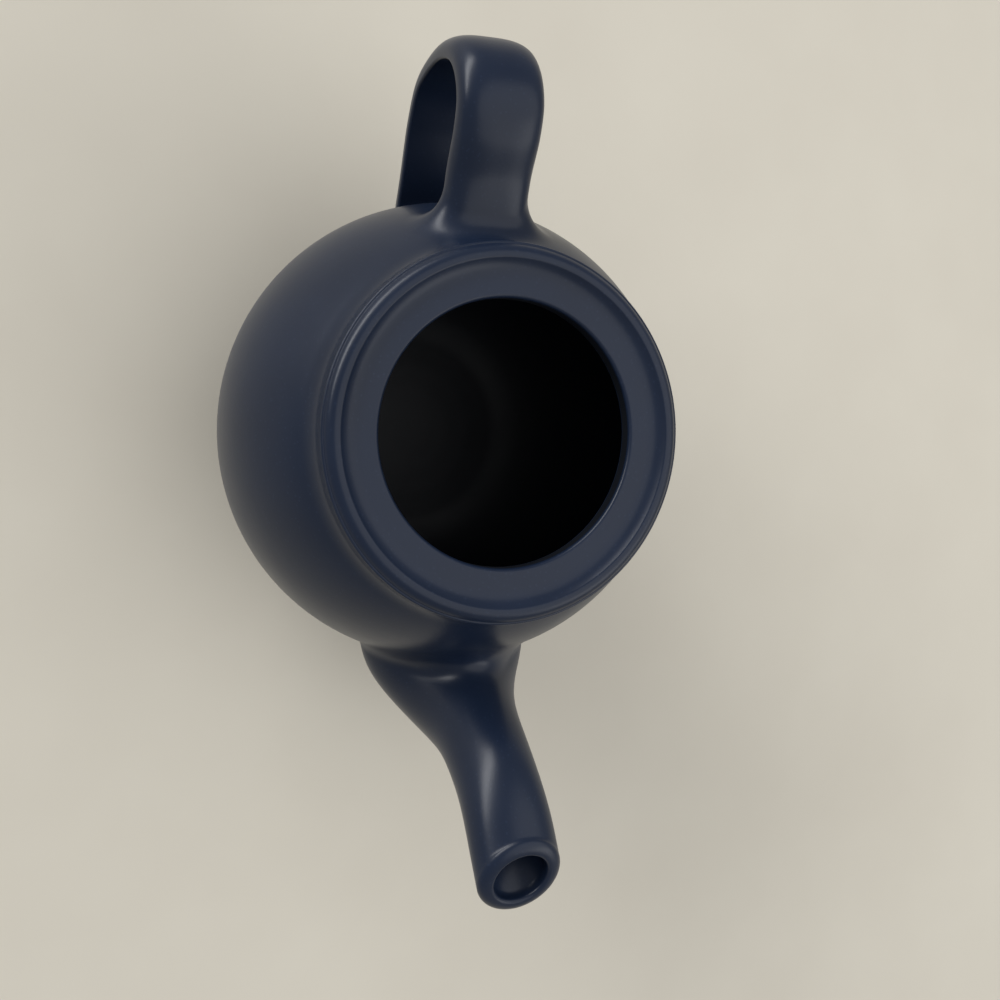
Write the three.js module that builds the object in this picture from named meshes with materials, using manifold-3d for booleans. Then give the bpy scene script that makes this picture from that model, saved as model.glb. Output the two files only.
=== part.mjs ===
// A round, lidless ceramic teapot with a wide collared mouth, a curved spout and a strap handle.
// Each piece is made on its own and joined to the body with slip, as a potter builds such a pot.
// Lengths are in millimetres. Z is up, the foot stands on z = 0, the spout points to +X.

import * as THREE from 'three';
import { mergeVertices } from 'three/addons/utils/BufferGeometryUtils.js';
import Module from 'manifold-3d';

const wasm = await Module();
wasm.setup();

// Joints and cuts
const seam = 0.3;
const edge = 0.5;
const bite = 1.5;
const overrun = 10;

// Foot ring
const footHeight = 5;
const footRadius = 34.3;
const footWidth = 5;
const footEdge = 1;

// Body: two half ellipses that share one equator, the lower one down to the foot ring
const bodyRadius = 65;
const equatorHeight = 52;
const shoulderRise = 60;
const bodyWall = 4.5;
const floorThickness = 5;
const bellyDrop = (equatorHeight - footHeight - seam) / Math.sqrt(1 - (footRadius / bodyRadius) ** 2);

// Rim collar, which stands on the shoulder where the body is as wide as the collar's flare
const collarRadius = 47.7;
const collarWidth = 8.3;
const collarHeight = 11.8;
const collarFlare = 5.5;
const collarFlareWidth = 2.6;
const rimRound = 3;
const rimStepDrop = 1.8;
const rimCrestInset = 3.5;
const bevelInset = 4.6;
const shoulderRadius = collarRadius + collarFlareWidth;
const shoulderHeight = equatorHeight + shoulderRise * Math.sqrt(1 - (shoulderRadius / bodyRadius) ** 2);
const rimHeight = shoulderHeight + collarHeight;

// Lid seat inside the collar
const seatWidth = 4.9;
const seatDrop = 2.2;
const seatThickness = 5;
const mouthRound = 1.3;
const seatRadius = collarRadius - collarWidth;
const mouthRadius = seatRadius - seatWidth;

// Spout: its curve starts inside the body, and its tip stands about as high as the rim
const spoutRootInset = 25;
const spoutRootDrop = 14;
const spoutLength = 46.2;
const spoutTipDrop = 2;
const spoutRootWidth = 50;
const spoutRootDepth = 33;
const spoutTipWidth = 22.6;
const spoutRootWall = 5;
const spoutTipWall = 4.1;
const spoutLip = 1.7;
const spoutCutLean = THREE.MathUtils.degToRad(22.5);
const spoutFlare = 5;
const spoutTopFlare = 13;

// Pierced wall behind the spout
const strainerRadius = 11;
const strainerWall = 3;
const strainerHole = 1.5;
const strainerPitch = 4.2;
const strainerRim = 0.7;

// Handle: its curve starts and ends inside the body, and its crown stands above the shoulder
const handleRootInset = 21;
const handleLength = 33.9;
const handleRise = 9;
const handleRootDrop = 21;
const strapWidth = 22.8;
const strapDepth = 6.5;
const handleTopFlare = 10;
const handleSideFlare = 3;
const handleLowFlare = 5;

// Facets
const aroundPot = 48;
const aroundTube = 24;
const aroundHole = 8;
const alongBody = 8;
const alongSpout = 20;
const alongHandle = 30;
const aroundEdge = 5;

// Shares of the spout's run, rise and narrowing, from inside the body to the tip
const spoutRunShares = [0, 0.211, 0.372, 0.492, 0.576, 0.653, 0.751, 0.875, 1];
const spoutRiseShares = [0, 0.04, 0.146, 0.307, 0.506, 0.663, 0.803, 0.917, 1];
const spoutWidthShares = [1, 1, 0.927, 0.474, 0.102, 0, -0.015, 0.007, 0];
const spoutDepthShares = [0.519, 0.808, 1, 0.615, 0.231, 0.019, -0.019, -0.01, 0];
const spoutTurnShare = 0.55;

// Shares of the handle's reach and rise, from the top root round to the low root
const handleReachShares = [
  0, 0.182, 0.383, 0.556, 0.692, 0.829, 0.938, 1, 0.996, 0.945, 0.801, 0.537, 0.146,
];
const handleRiseShares = [
  0.765, 0.799, 0.865, 0.96, 1, 0.982, 0.912, 0.779, 0.61, 0.474, 0.356, 0.221, 0,
];

// Shares that shape the strap's section: its depth inside the widest line, and how boxy it is
const strapInnerShare = 0.2;
const strapFlatShare = 0.35;
const strapSideShare = 0.64;
const strapCrownShare = 0.76;

// Shares of a tube's length between which its surface leaves the body
const spoutLeavesShares = [0, 0.6];
const handleLeavesShares = [0, 0.3];
const handleReturnsShares = [1, 0.72];
const fineShare = 0.0005;

const glaze = { color: 0x23304d, roughness: 0.42, metalness: 0 };
const insideGlaze = { color: 0x1b2436, roughness: 0.3, metalness: 0 };
const bareClay = { color: 0xb9a78f, roughness: 0.85, metalness: 0 };

// Solids and meshes

function solidOf(geometry) {
  const plain = geometry.clone();
  plain.deleteAttribute('normal');
  plain.deleteAttribute('uv');
  const merged = mergeVertices(plain);
  const corners = merged.getIndex().array;
  const triangles = [];
  for (let i = 0; i < corners.length; i += 3) {
    const [a, b, c] = corners.slice(i, i + 3);
    if (a !== b && b !== c && c !== a) triangles.push(a, b, c);
  }
  return new wasm.Manifold(new wasm.Mesh({
    numProp: 3,
    vertProperties: merged.getAttribute('position').array,
    triVerts: new Uint32Array(triangles),
  }));
}

function meshOf(name, solid, finish) {
  const { vertProperties, triVerts } = solid.getMesh();
  const geometry = new THREE.BufferGeometry();
  geometry.setAttribute('position', new THREE.BufferAttribute(vertProperties, 3));
  geometry.setIndex(new THREE.BufferAttribute(triVerts, 1));
  geometry.computeVertexNormals();
  const mesh = new THREE.Mesh(geometry, new THREE.MeshStandardMaterial(finish));
  mesh.name = name;
  return mesh;
}

// Six times the volume inside a closed geometry, below zero when its faces point in
function signedVolume(geometry) {
  const spots = geometry.getAttribute('position');
  const corners = geometry.getIndex().array;
  const [a, b, c] = [new THREE.Vector3(), new THREE.Vector3(), new THREE.Vector3()];
  let total = 0;
  for (let i = 0; i < corners.length; i += 3) {
    a.fromBufferAttribute(spots, corners[i]);
    b.fromBufferAttribute(spots, corners[i + 1]);
    c.fromBufferAttribute(spots, corners[i + 2]);
    total += a.dot(b.cross(c));
  }
  return total;
}

function facingOut(geometry) {
  if (signedVolume(geometry) > 0) return geometry;
  const corners = geometry.getIndex().array;
  for (let i = 0; i < corners.length; i += 3) {
    [corners[i], corners[i + 1]] = [corners[i + 1], corners[i]];
  }
  return geometry;
}

// A profile of [radius, height] points turned about the pot's axis
function turned(profile) {
  const points = profile.map(([radius, height]) => new THREE.Vector2(radius, height));
  const geometry = new THREE.LatheGeometry(points, aroundPot);
  geometry.rotateX(Math.PI / 2);
  return solidOf(facingOut(geometry));
}

// Rings of points skinned in order and capped at both ends
function capped(rings) {
  const count = rings[0].length;
  const middles = [rings[0], rings.at(-1)].map((ring) => {
    const middle = new THREE.Vector3();
    ring.forEach((spot) => middle.addScaledVector(spot, 1 / count));
    return Array(count).fill(middle);
  });
  return skinned([middles[0], ...rings, middles[1]], rings.length + 1);
}

// Rings of points skinned in order and joined from the last ring to the first
function looped(rings) {
  return skinned(rings, rings.length);
}

function skinned(rings, bands) {
  const count = rings[0].length;
  const corners = [];
  for (let i = 0; i < bands; i += 1) {
    const next = (i + 1) % rings.length;
    for (let j = 0; j < count; j += 1) {
      const k = (j + 1) % count;
      const [a, b, c, d] = [i * count + j, i * count + k, next * count + k, next * count + j];
      corners.push(a, b, c, a, c, d);
    }
  }
  const geometry = new THREE.BufferGeometry().setFromPoints(rings.flat());
  geometry.setIndex(corners);
  return solidOf(facingOut(geometry));
}

// Points of a profile along a round edge, between two angles about its centre
function roundEdge(radius, height, size, from, to) {
  return Array.from({ length: aroundEdge + 1 }, (_, i) => {
    const angle = THREE.MathUtils.lerp(from, to, i / aroundEdge);
    return [radius + size * Math.cos(angle), height + size * Math.sin(angle)];
  });
}

// Points of a profile that leave one point towards a corner and reach another from it
function bend(...points) {
  const [start, corner, end] = points.map(([x, y]) => new THREE.Vector2(x, y));
  const curve = new THREE.QuadraticBezierCurve(start, corner, end);
  return curve.getPoints(aroundEdge).map((spot) => [spot.x, spot.y]);
}

// The body's surface

// The half height of the ellipse that holds a given height
function halfEllipse(height) {
  return height < equatorHeight ? bellyDrop : shoulderRise;
}

// Radius of the body at a height, on its surface moved in by an inset
function bodyRadiusAt(height, inset = 0) {
  const share = (height - equatorHeight) / (halfEllipse(height) - inset);
  return (bodyRadius - inset) * Math.sqrt(1 - share ** 2);
}

// Profile of the body from a low height to a high one, on its surface moved in by an inset
function bodyProfile(inset, low, high) {
  const arcTo = (height) => {
    const rise = halfEllipse(height) - inset;
    const full = Math.asin(THREE.MathUtils.clamp((height - equatorHeight) / rise, -1, 1));
    return Array.from({ length: alongBody + 1 }, (_, i) => {
      const angle = (full * i) / alongBody;
      return [(bodyRadius - inset) * Math.cos(angle), equatorHeight + rise * Math.sin(angle)];
    });
  };
  return [...arcTo(low).reverse(), ...arcTo(high).slice(1)];
}

// Zero on the body's outer surface and below zero inside it
function bodyTest(spot) {
  const flat = Math.hypot(spot.x, spot.y) / bodyRadius;
  return flat ** 2 + ((spot.z - equatorHeight) / halfEllipse(spot.z)) ** 2 - 1;
}

function bodyNormal(spot) {
  const squeeze = (bodyRadius / halfEllipse(spot.z)) ** 2;
  return new THREE.Vector3(spot.x, spot.y, (spot.z - equatorHeight) * squeeze).normalize();
}

// The point of the body's surface in line with a spot and the body's middle
function ontoBody(spot) {
  const middle = new THREE.Vector3(0, 0, equatorHeight);
  return spot.clone().sub(middle).divideScalar(Math.sqrt(bodyTest(spot) + 1)).add(middle);
}

// Outer profile of the collar from the shoulder to its straight wall, moved out by a gap
function collarSide(gap) {
  const start = shoulderHeight + seam;
  const normal = bodyNormal(new THREE.Vector3(shoulderRadius, 0, shoulderHeight));
  const corner = start + collarFlareWidth * (normal.x / normal.z);
  return bend(
    [shoulderRadius + gap, start],
    [collarRadius + gap, corner],
    [collarRadius + gap, start + collarFlare],
  );
}

// Body and collar as one plain solid with a seam round it, to cut what stands on them
function potCutter() {
  const top = rimHeight + seam;
  const bottom = equatorHeight - bellyDrop - seam;
  return turned([
    ...bodyProfile(-seam, bottom, shoulderHeight),
    ...collarSide(seam),
    [collarRadius + seam, top],
    [0, top],
  ]);
}

// Pieces turned on the wheel

function bodyShell() {
  const bottom = footHeight + seam;
  const floor = footHeight + floorThickness;
  const shell = turned([
    [0, bottom],
    ...bodyProfile(0, bottom, shoulderHeight),
    ...bodyProfile(bodyWall, floor, shoulderHeight).reverse(),
    [0, floor],
  ]);
  return shell.subtract(strainerRod(strainerRadius, aroundTube));
}

function footRing() {
  const inner = footRadius - footWidth;
  return turned([
    [inner, footHeight],
    [inner, footEdge],
    [inner + footEdge, 0],
    [footRadius - footEdge, 0],
    [footRadius, footEdge],
    [footRadius, footHeight],
    [inner, footHeight],
  ]);
}

function rimCollar() {
  const low = shoulderHeight + seam;
  const step = rimHeight - rimStepDrop;
  const crest = collarRadius - rimCrestInset;
  const bevel = collarRadius - bevelInset;
  const seatTop = rimHeight - seatDrop;
  const side = seatRadius + seam;
  const halfway = [(bevel + side) / 2, rimHeight - seatDrop / 2];
  const rise = Math.asin(1 - rimStepDrop / rimRound);
  return turned([
    ...collarSide(0),
    [collarRadius, step - edge],
    [collarRadius - edge, step],
    ...roundEdge(crest, rimHeight - rimRound, rimRound, rise, Math.PI / 2),
    ...bend([crest, rimHeight], [bevel, rimHeight], halfway).slice(1),
    [side, seatTop],
    [side, seatTop - seatThickness],
    [bodyRadiusAt(shoulderHeight, bodyWall), low],
    [shoulderRadius, low],
  ]);
}

function lidSeat() {
  const top = rimHeight - seatDrop;
  const low = top - seatThickness;
  return turned([
    [seatRadius, low],
    [seatRadius, top],
    ...roundEdge(mouthRadius + mouthRound, top - mouthRound, mouthRound, Math.PI / 2, Math.PI),
    [mouthRadius, low + mouthRound],
    [mouthRadius + mouthRound, low],
    [seatRadius, low],
  ]);
}

// Height at which the spout's curve comes through the body's wall
function strainerHeight() {
  const [inside, outside] = spoutLeavesShares;
  return spoutPath.getPoint(leavesBody((share) => spoutPath.getPoint(share), 0, inside, outside)).z;
}

// A round rod from the pot's axis out through the strainer
function strainerRod(radius, facets, aside = 0, above = 0) {
  const length = bodyRadius + overrun;
  const geometry = new THREE.CylinderGeometry(radius, radius, length, facets);
  geometry.rotateZ(-Math.PI / 2);
  geometry.translate(length / 2, aside, strainerHeight() + above);
  return solidOf(facingOut(geometry));
}

// The wall behind the spout, pierced by one hole and by as many rings of holes as fit round it
function strainerPlate() {
  const low = strainerHeight() - strainerRadius - overrun;
  const high = strainerHeight() + strainerRadius + overrun;
  const outer = bodyProfile(bodyWall - strainerWall, low, high);
  const inner = bodyProfile(bodyWall, low, high).reverse();
  const band = turned([...outer, ...inner, outer[0]]);
  let plate = band.intersect(strainerRod(strainerRadius - seam, aroundTube));
  const rings = Math.floor((strainerRadius - seam - strainerRim - strainerHole) / strainerPitch);
  for (let ring = 0; ring <= rings; ring += 1) {
    const holes = Math.max(1, ring * 6);
    for (let i = 0; i < holes; i += 1) {
      const angle = (2 * Math.PI * i) / holes;
      const aside = ring * strainerPitch * Math.cos(angle);
      const above = ring * strainerPitch * Math.sin(angle);
      plate = plate.subtract(strainerRod(strainerHole, aroundHole, aside, above));
    }
  }
  return plate;
}

// Tubes that follow a curve in the plane y = 0

// A curve through stations given as shares of a run along X and of a rise
function pathThrough(reachShares, fromReach, toReach, riseShares, fromHeight, toHeight) {
  return new THREE.CatmullRomCurve3(reachShares.map((share, i) => new THREE.Vector3(
    THREE.MathUtils.lerp(fromReach, toReach, share),
    0,
    THREE.MathUtils.lerp(fromHeight, toHeight, riseShares[i]),
  )));
}

// Half a size that runs from one size at the tip to another at the root by shares at its stations
function halfAlong(shares, atTip, atRoot) {
  return new THREE.SplineCurve(shares.map((share) => (
    new THREE.Vector2(share, THREE.MathUtils.lerp(atTip, atRoot, share) / 2)
  )));
}

const spoutPath = pathThrough(
  spoutRunShares, bodyRadius - spoutRootInset, bodyRadius + spoutLength,
  spoutRiseShares, equatorHeight - spoutRootDrop, rimHeight - spoutTipDrop,
);
const spoutHalfWidth = halfAlong(spoutWidthShares, spoutTipWidth, spoutRootWidth);
const spoutHalfDepth = halfAlong(spoutDepthShares, spoutTipWidth, spoutRootDepth);
const handlePath = pathThrough(
  handleReachShares, handleRootInset - bodyRadius, -bodyRadius - handleLength,
  handleRiseShares, equatorHeight - handleRootDrop, shoulderHeight + handleRise,
);

// Angle from upright of a curve's direction, towards +X
function lean(path, share) {
  const way = path.getTangent(share);
  return Math.atan2(way.x, way.z);
}

// A spot of a section whose plane leans by an angle: so far in the plane y = 0, so far across it
function sectionSpot(middle, plane, deep, across, lift) {
  return new THREE.Vector3(
    middle.x - deep * Math.cos(plane) + lift * Math.sin(plane),
    across,
    middle.z + deep * Math.sin(plane) + lift * Math.cos(plane),
  );
}

// Spout sections are ovals square to the curve that turn into the plane which cuts the tip
function spoutSpot(share, angle, inset = 0, lift = 0) {
  const t = THREE.MathUtils.clamp(share, 0, 1);
  const tipTurn = spoutCutLean - lean(spoutPath, 1);
  const turn = THREE.MathUtils.smoothstep(t, spoutTurnShare, 1) * tipTurn;
  const deep = (spoutHalfDepth.getPoint(t).y - inset) * Math.sin(angle);
  const across = (spoutHalfWidth.getPoint(t).y - inset) * Math.cos(angle);
  return sectionSpot(spoutPath.getPoint(t), lean(spoutPath, t) + turn, deep, across, lift);
}

// Strap sections are square to the curve, flat towards the fingers and crowned on the outer side
function strapSpot(share, angle, inset = 0) {
  const t = THREE.MathUtils.clamp(share, 0, 1);
  const [sideways, inwards] = [Math.cos(angle), Math.sin(angle)];
  const inner = strapDepth * strapInnerShare;
  const widest = strapDepth / 2 - inner;
  const flat = (inner - inset) * Math.max(inwards, 0) ** strapFlatShare;
  const crown = (strapDepth - inner - inset) * Math.max(-inwards, 0) ** strapCrownShare;
  const boxy = Math.sign(sideways) * Math.abs(sideways) ** strapSideShare;
  const across = (strapWidth / 2 - inset) * boxy;
  return sectionSpot(handlePath.getPoint(t), lean(handlePath, t), widest + flat - crown, across, 0);
}

// One value for each facet round a tube
function roundTube(valueAt) {
  return Array.from({ length: aroundTube }, (_, i) => valueAt((2 * Math.PI * i) / aroundTube));
}

// Rings of a tube's surface moved in by an inset that may change along it
function tubeRings(spotAt, steps, insetAt) {
  return Array.from({ length: steps + 1 }, (_, i) => (
    roundTube((angle) => spotAt(i / steps, angle, insetAt(i / steps)))
  ));
}

function spoutTube() {
  const wallAt = (share) => THREE.MathUtils.lerp(spoutRootWall, spoutTipWall, share);
  const half = spoutTipWall / 2;
  const lip = roundEdge(half, 0, half, Math.PI, 0).slice(1, -1);
  return looped([
    ...tubeRings(spoutSpot, alongSpout, () => 0),
    ...lip.map(([inset, lift]) => (
      roundTube((angle) => spoutSpot(1, angle, inset, (lift / half) * spoutLip))
    )),
    ...tubeRings(spoutSpot, alongSpout, wallAt).reverse(),
  ]).subtract(potCutter());
}

function handleStrap() {
  return capped(tubeRings(strapSpot, alongHandle, () => 0)).subtract(potCutter());
}

// Clay pressed into the corner between the body and a tube

// Share of a tube, between one inside the body and one outside, where its surface leaves the body
function leavesBody(spotAt, angle, insideShare, outsideShare) {
  let [inner, outer] = [insideShare, outsideShare];
  while (Math.abs(outer - inner) > fineShare) {
    const middle = (inner + outer) / 2;
    if (bodyTest(spotAt(middle, angle)) < 0) inner = middle;
    else outer = middle;
  }
  return (inner + outer) / 2;
}

// Share of a tube at which its surface is so far from where it was at a start share
function shareAway(spotAt, angle, start, direction, distance) {
  const from = spotAt(start, angle);
  let share = start;
  while (spotAt(share, angle).distanceTo(from) < distance) share += direction * fineShare;
  return share;
}

// A spot of a tube's surface with its normal, which points away from the tube's middle
function tubeSide(spotAt, share, angle) {
  const spot = spotAt(share, angle);
  const around = spotAt(share, angle + fineShare).sub(spotAt(share, angle - fineShare));
  const along = spotAt(share + fineShare, angle).sub(spotAt(share - fineShare, angle));
  const normal = around.cross(along).normalize();
  const across = spot.clone().sub(spotAt(share, angle + Math.PI));
  return { spot, normal: normal.dot(across) < 0 ? normal.negate() : normal };
}

function filletRing(spotAt, steps, [insideShare, outsideShare], reachAt) {
  const direction = Math.sign(outsideShare - insideShare);
  const sections = roundTube((angle) => {
    const share = leavesBody(spotAt, angle, insideShare, outsideShare);
    const { spot: corner, normal: wall } = tubeSide(spotAt, share, angle);
    const ground = bodyNormal(corner);
    const outwards = wall.clone().addScaledVector(ground, -wall.dot(ground)).normalize();
    const reach = reachAt(outwards);
    const onBody = ontoBody(corner.clone().addScaledVector(outwards, reach));
    const foot = { spot: onBody, normal: bodyNormal(onBody) };
    const topShare = shareAway(spotAt, angle, share, direction, reach);
    const top = tubeSide(spotAt, topShare, angle);
    const off = (side, gap) => side.spot.clone().addScaledVector(side.normal, gap);
    const within = (gap) => corner.clone().addScaledVector(wall, gap).addScaledVector(ground, gap);
    const curve = new THREE.QuadraticBezierCurve3(off(foot, edge), within(edge), off(top, edge));
    return [off(foot, -bite), ...curve.getPoints(aroundEdge), off(top, -bite), within(-bite)];
  });
  const rings = sections[0].map((_, i) => sections.map((section) => section[i]));
  const grown = capped(tubeRings(spotAt, steps, () => -seam));
  return looped(rings).subtract(potCutter()).subtract(grown);
}

// The spout's fillet is long in the crook above the spout
function spoutFillet() {
  const reachAt = (way) => (
    THREE.MathUtils.lerp(spoutFlare, spoutTopFlare, THREE.MathUtils.clamp(way.z, 0, 1))
  );
  return filletRing(spoutSpot, alongSpout, spoutLeavesShares, reachAt);
}

// The top fillet is short towards the collar, which stands close above it
function handleTopFillet() {
  const reachAt = (way) => (
    THREE.MathUtils.lerp(handleTopFlare, handleSideFlare, THREE.MathUtils.clamp(way.z, 0, 1))
  );
  return filletRing(strapSpot, alongHandle, handleLeavesShares, reachAt);
}

function handleLowFillet() {
  return filletRing(strapSpot, alongHandle, handleReturnsShares, () => handleLowFlare);
}

const teapot = new THREE.Group();
teapot.name = 'teapot';
teapot.add(
  meshOf('body_shell', bodyShell(), glaze),
  meshOf('foot_ring', footRing(), bareClay),
  meshOf('rim_collar', rimCollar(), glaze),
  meshOf('lid_seat', lidSeat(), glaze),
  meshOf('strainer_plate', strainerPlate(), insideGlaze),
  meshOf('spout_tube', spoutTube(), glaze),
  meshOf('spout_fillet', spoutFillet(), glaze),
  meshOf('handle_strap', handleStrap(), glaze),
  meshOf('handle_fillet_top', handleTopFillet(), glaze),
  meshOf('handle_fillet_low', handleLowFillet(), glaze),
);

// The origin lies under the middle of the pot's length
const middle = new THREE.Box3().setFromObject(teapot).getCenter(new THREE.Vector3());
teapot.children.forEach((mesh) => mesh.geometry.translate(-middle.x, 0, 0));

export default teapot;
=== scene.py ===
"""Looks of a round stoneware teapot without its lid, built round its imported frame.

Every piece is made in metres in the frame's own axes: Z up from the table, X from the handle to the spout.
"""

import logging
import math
from collections.abc import Callable
from dataclasses import dataclass, field
from enum import Enum

import bpy
import numpy as np
from mathutils import Euler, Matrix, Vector
from mathutils.kdtree import KDTree


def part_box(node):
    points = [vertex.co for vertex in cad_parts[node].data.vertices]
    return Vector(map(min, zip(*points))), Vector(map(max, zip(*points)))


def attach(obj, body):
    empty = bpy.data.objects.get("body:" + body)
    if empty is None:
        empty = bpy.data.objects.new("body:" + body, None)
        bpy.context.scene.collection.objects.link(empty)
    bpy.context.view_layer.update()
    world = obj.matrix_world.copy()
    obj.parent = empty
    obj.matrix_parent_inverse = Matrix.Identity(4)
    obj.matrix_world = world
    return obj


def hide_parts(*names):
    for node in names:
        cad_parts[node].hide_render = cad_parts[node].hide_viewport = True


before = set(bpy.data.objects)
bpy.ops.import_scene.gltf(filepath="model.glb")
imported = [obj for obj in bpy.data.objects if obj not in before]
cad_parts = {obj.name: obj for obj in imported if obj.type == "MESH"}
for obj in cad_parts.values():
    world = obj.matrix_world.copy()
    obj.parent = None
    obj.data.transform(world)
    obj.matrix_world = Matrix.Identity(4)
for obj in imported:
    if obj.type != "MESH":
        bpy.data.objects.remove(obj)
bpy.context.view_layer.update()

MM = 0.001
TURN = 2 * math.pi
FINE = 1e-6
TINY = 1e-12
# Inputs of a Map Range node in order
RANGE_ENDS = ("From Min", "From Max", "To Min", "To Max")
LOG = logging.getLogger("teapot")


class Slot(Enum):
    """Material slots of the record."""

    GLAZE = "glaze"
    INSIDE_GLAZE = "inside_glaze"
    BARE_CLAY = "bare_clay"


# Small tools


def linear(code: str) -> tuple[float, float, float, float]:
    """Turn an sRGB hex colour to linear light.

    Args:
        code: Six hex digits after a hash.

    Returns:
        Red, green, blue and an alpha of 1.
    """
    shares = [int(code[i : i + 2], 16) / 255 for i in (1, 3, 5)]
    red, green, blue = (s / 12.92 if s <= 0.04045 else ((s + 0.055) / 1.055) ** 2.4 for s in shares)
    return red, green, blue, 1.0


def add_node(
    tree: bpy.types.NodeTree,
    kind: str,
    values: dict | None = None,
    links: dict | None = None,
    **settings: object,
) -> bpy.types.Node:
    """Add a node to a tree, set it and link it.

    Args:
        tree: The tree of a material, world or modifier.
        kind: The node's type.
        values: Values of its inputs by name or number.
        links: Sockets that feed its inputs, by name or number.
        **settings: The node's own settings.

    Returns:
        The new node.
    """
    node = tree.nodes.new(kind)
    for name, value in settings.items():
        setattr(node, name, value)
    for name, value in (values or {}).items():
        node.inputs[name].default_value = value
    for name, socket in (links or {}).items():
        tree.links.new(socket, node.inputs[name])
    return node


def new_material(name: str) -> tuple[bpy.types.Material, bpy.types.NodeTree]:
    """Make an empty node material.

    Args:
        name: The material's name.

    Returns:
        The material and its empty tree.
    """
    material = bpy.data.materials.new(name)
    material.use_nodes = True
    material.node_tree.nodes.clear()
    return material, material.node_tree


def new_object(name: str, data: bpy.types.ID) -> bpy.types.Object:
    """Make an object at the origin and link it to the scene.

    Args:
        name: The object's name.
        data: Its mesh, lamp or camera.

    Returns:
        The new object.
    """
    obj = bpy.data.objects.new(name, data)
    bpy.context.scene.collection.objects.link(obj)
    return obj


def mesh_object(
    name: str,
    points: np.ndarray,
    faces: list[tuple[int, ...]],
    finishes: list[bpy.types.Material],
) -> bpy.types.Object:
    """Make a smooth mesh object whose faces point outwards.

    Args:
        name: The object's name.
        points: Its corners.
        faces: Corner numbers of each face.
        finishes: Its materials.

    Returns:
        The object, linked to the scene.
    """
    mesh = bpy.data.meshes.new(name)
    mesh.from_pydata(points.tolist(), [], faces)
    for finish in finishes:
        mesh.materials.append(finish)
    obj = new_object(name, mesh)
    face_out(mesh)
    return obj


def circle_angles(count: int) -> np.ndarray:
    """Angles of points spread evenly round a circle."""
    return np.arange(count) / count * TURN


def band_faces(bands: int, rows: int, count: int) -> list[tuple[int, ...]]:
    """Run bands of faces between rings of points that follow each other.

    Args:
        bands: Number of bands, which is as high as rows where the last ring joins the first.
        rows: Number of rings.
        count: Number of points in a ring.

    Returns:
        Corner numbers of each face.
    """
    faces = []
    for low in range(bands):
        high = (low + 1) % rows
        for k in range(count):
            after = (k + 1) % count
            faces.append((low * count + k, low * count + after, high * count + after, high * count + k))
    return faces


def face_out(mesh: bpy.types.Mesh) -> None:
    """Shade a closed mesh smooth and turn its faces outwards if they point in.

    Args:
        mesh: The closed mesh.
    """
    mesh.shade_smooth()
    mesh.calc_loop_triangles()
    spots = np.array([v.co for v in mesh.vertices], float)
    corners = np.array([t.vertices for t in mesh.loop_triangles], int)
    a, b, c = (spots[corners[:, i]] for i in range(3))
    if np.einsum("ij,ij->i", a, np.cross(b, c)).sum() < 0:
        mesh.flip_normals()


def bake(obj: bpy.types.Object) -> None:
    """Turn what an object's modifiers make into its plain mesh, and remove them.

    Args:
        obj: The object with the modifiers.
    """
    depsgraph = bpy.context.evaluated_depsgraph_get()
    mesh = bpy.data.meshes.new_from_object(obj.evaluated_get(depsgraph), depsgraph=depsgraph)
    obj.modifiers.clear()
    old = obj.data
    obj.data = mesh
    bpy.data.meshes.remove(old)


def run_tree(obj: bpy.types.Object, tree: bpy.types.NodeTree, inputs: dict) -> None:
    """Run a geometry tree on an object and keep its result as a plain mesh.

    Args:
        obj: The object that gives the tree its geometry.
        tree: The geometry tree.
        inputs: Values of the tree's inputs by name.
    """
    modifier = obj.modifiers.new(tree.name, "NODES")
    modifier.node_group = tree
    named = {item.name: item.identifier for item in tree.interface.items_tree if item.item_type == "SOCKET"}
    for name, value in inputs.items():
        modifier[named[name]] = value
    bake(obj)


def new_geometry_tree(name: str, inputs: dict[str, str]) -> tuple[bpy.types.NodeTree, bpy.types.Node]:
    """Make a geometry tree with named inputs.

    Args:
        name: The tree's name.
        inputs: Socket type of each input after the geometry, by name.

    Returns:
        The tree and its input node.
    """
    tree = bpy.data.node_groups.new(name, "GeometryNodeTree")
    tree.interface.new_socket("Geometry", in_out="INPUT", socket_type="NodeSocketGeometry")
    for label, kind in inputs.items():
        tree.interface.new_socket(label, in_out="INPUT", socket_type=kind)
    tree.interface.new_socket("Geometry", in_out="OUTPUT", socket_type="NodeSocketGeometry")
    return tree, add_node(tree, "NodeGroupInput")


def publish(obj: bpy.types.Object, slot: Slot, *nodes: str) -> None:
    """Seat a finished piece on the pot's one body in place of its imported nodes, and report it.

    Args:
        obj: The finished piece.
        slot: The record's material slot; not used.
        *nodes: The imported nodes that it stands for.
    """
    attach(obj, "root")
    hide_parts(*nodes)
    LOG.info("%s stands for %s, %d faces", obj.name, ", ".join(nodes), len(obj.data.polygons))


# Finishes


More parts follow.
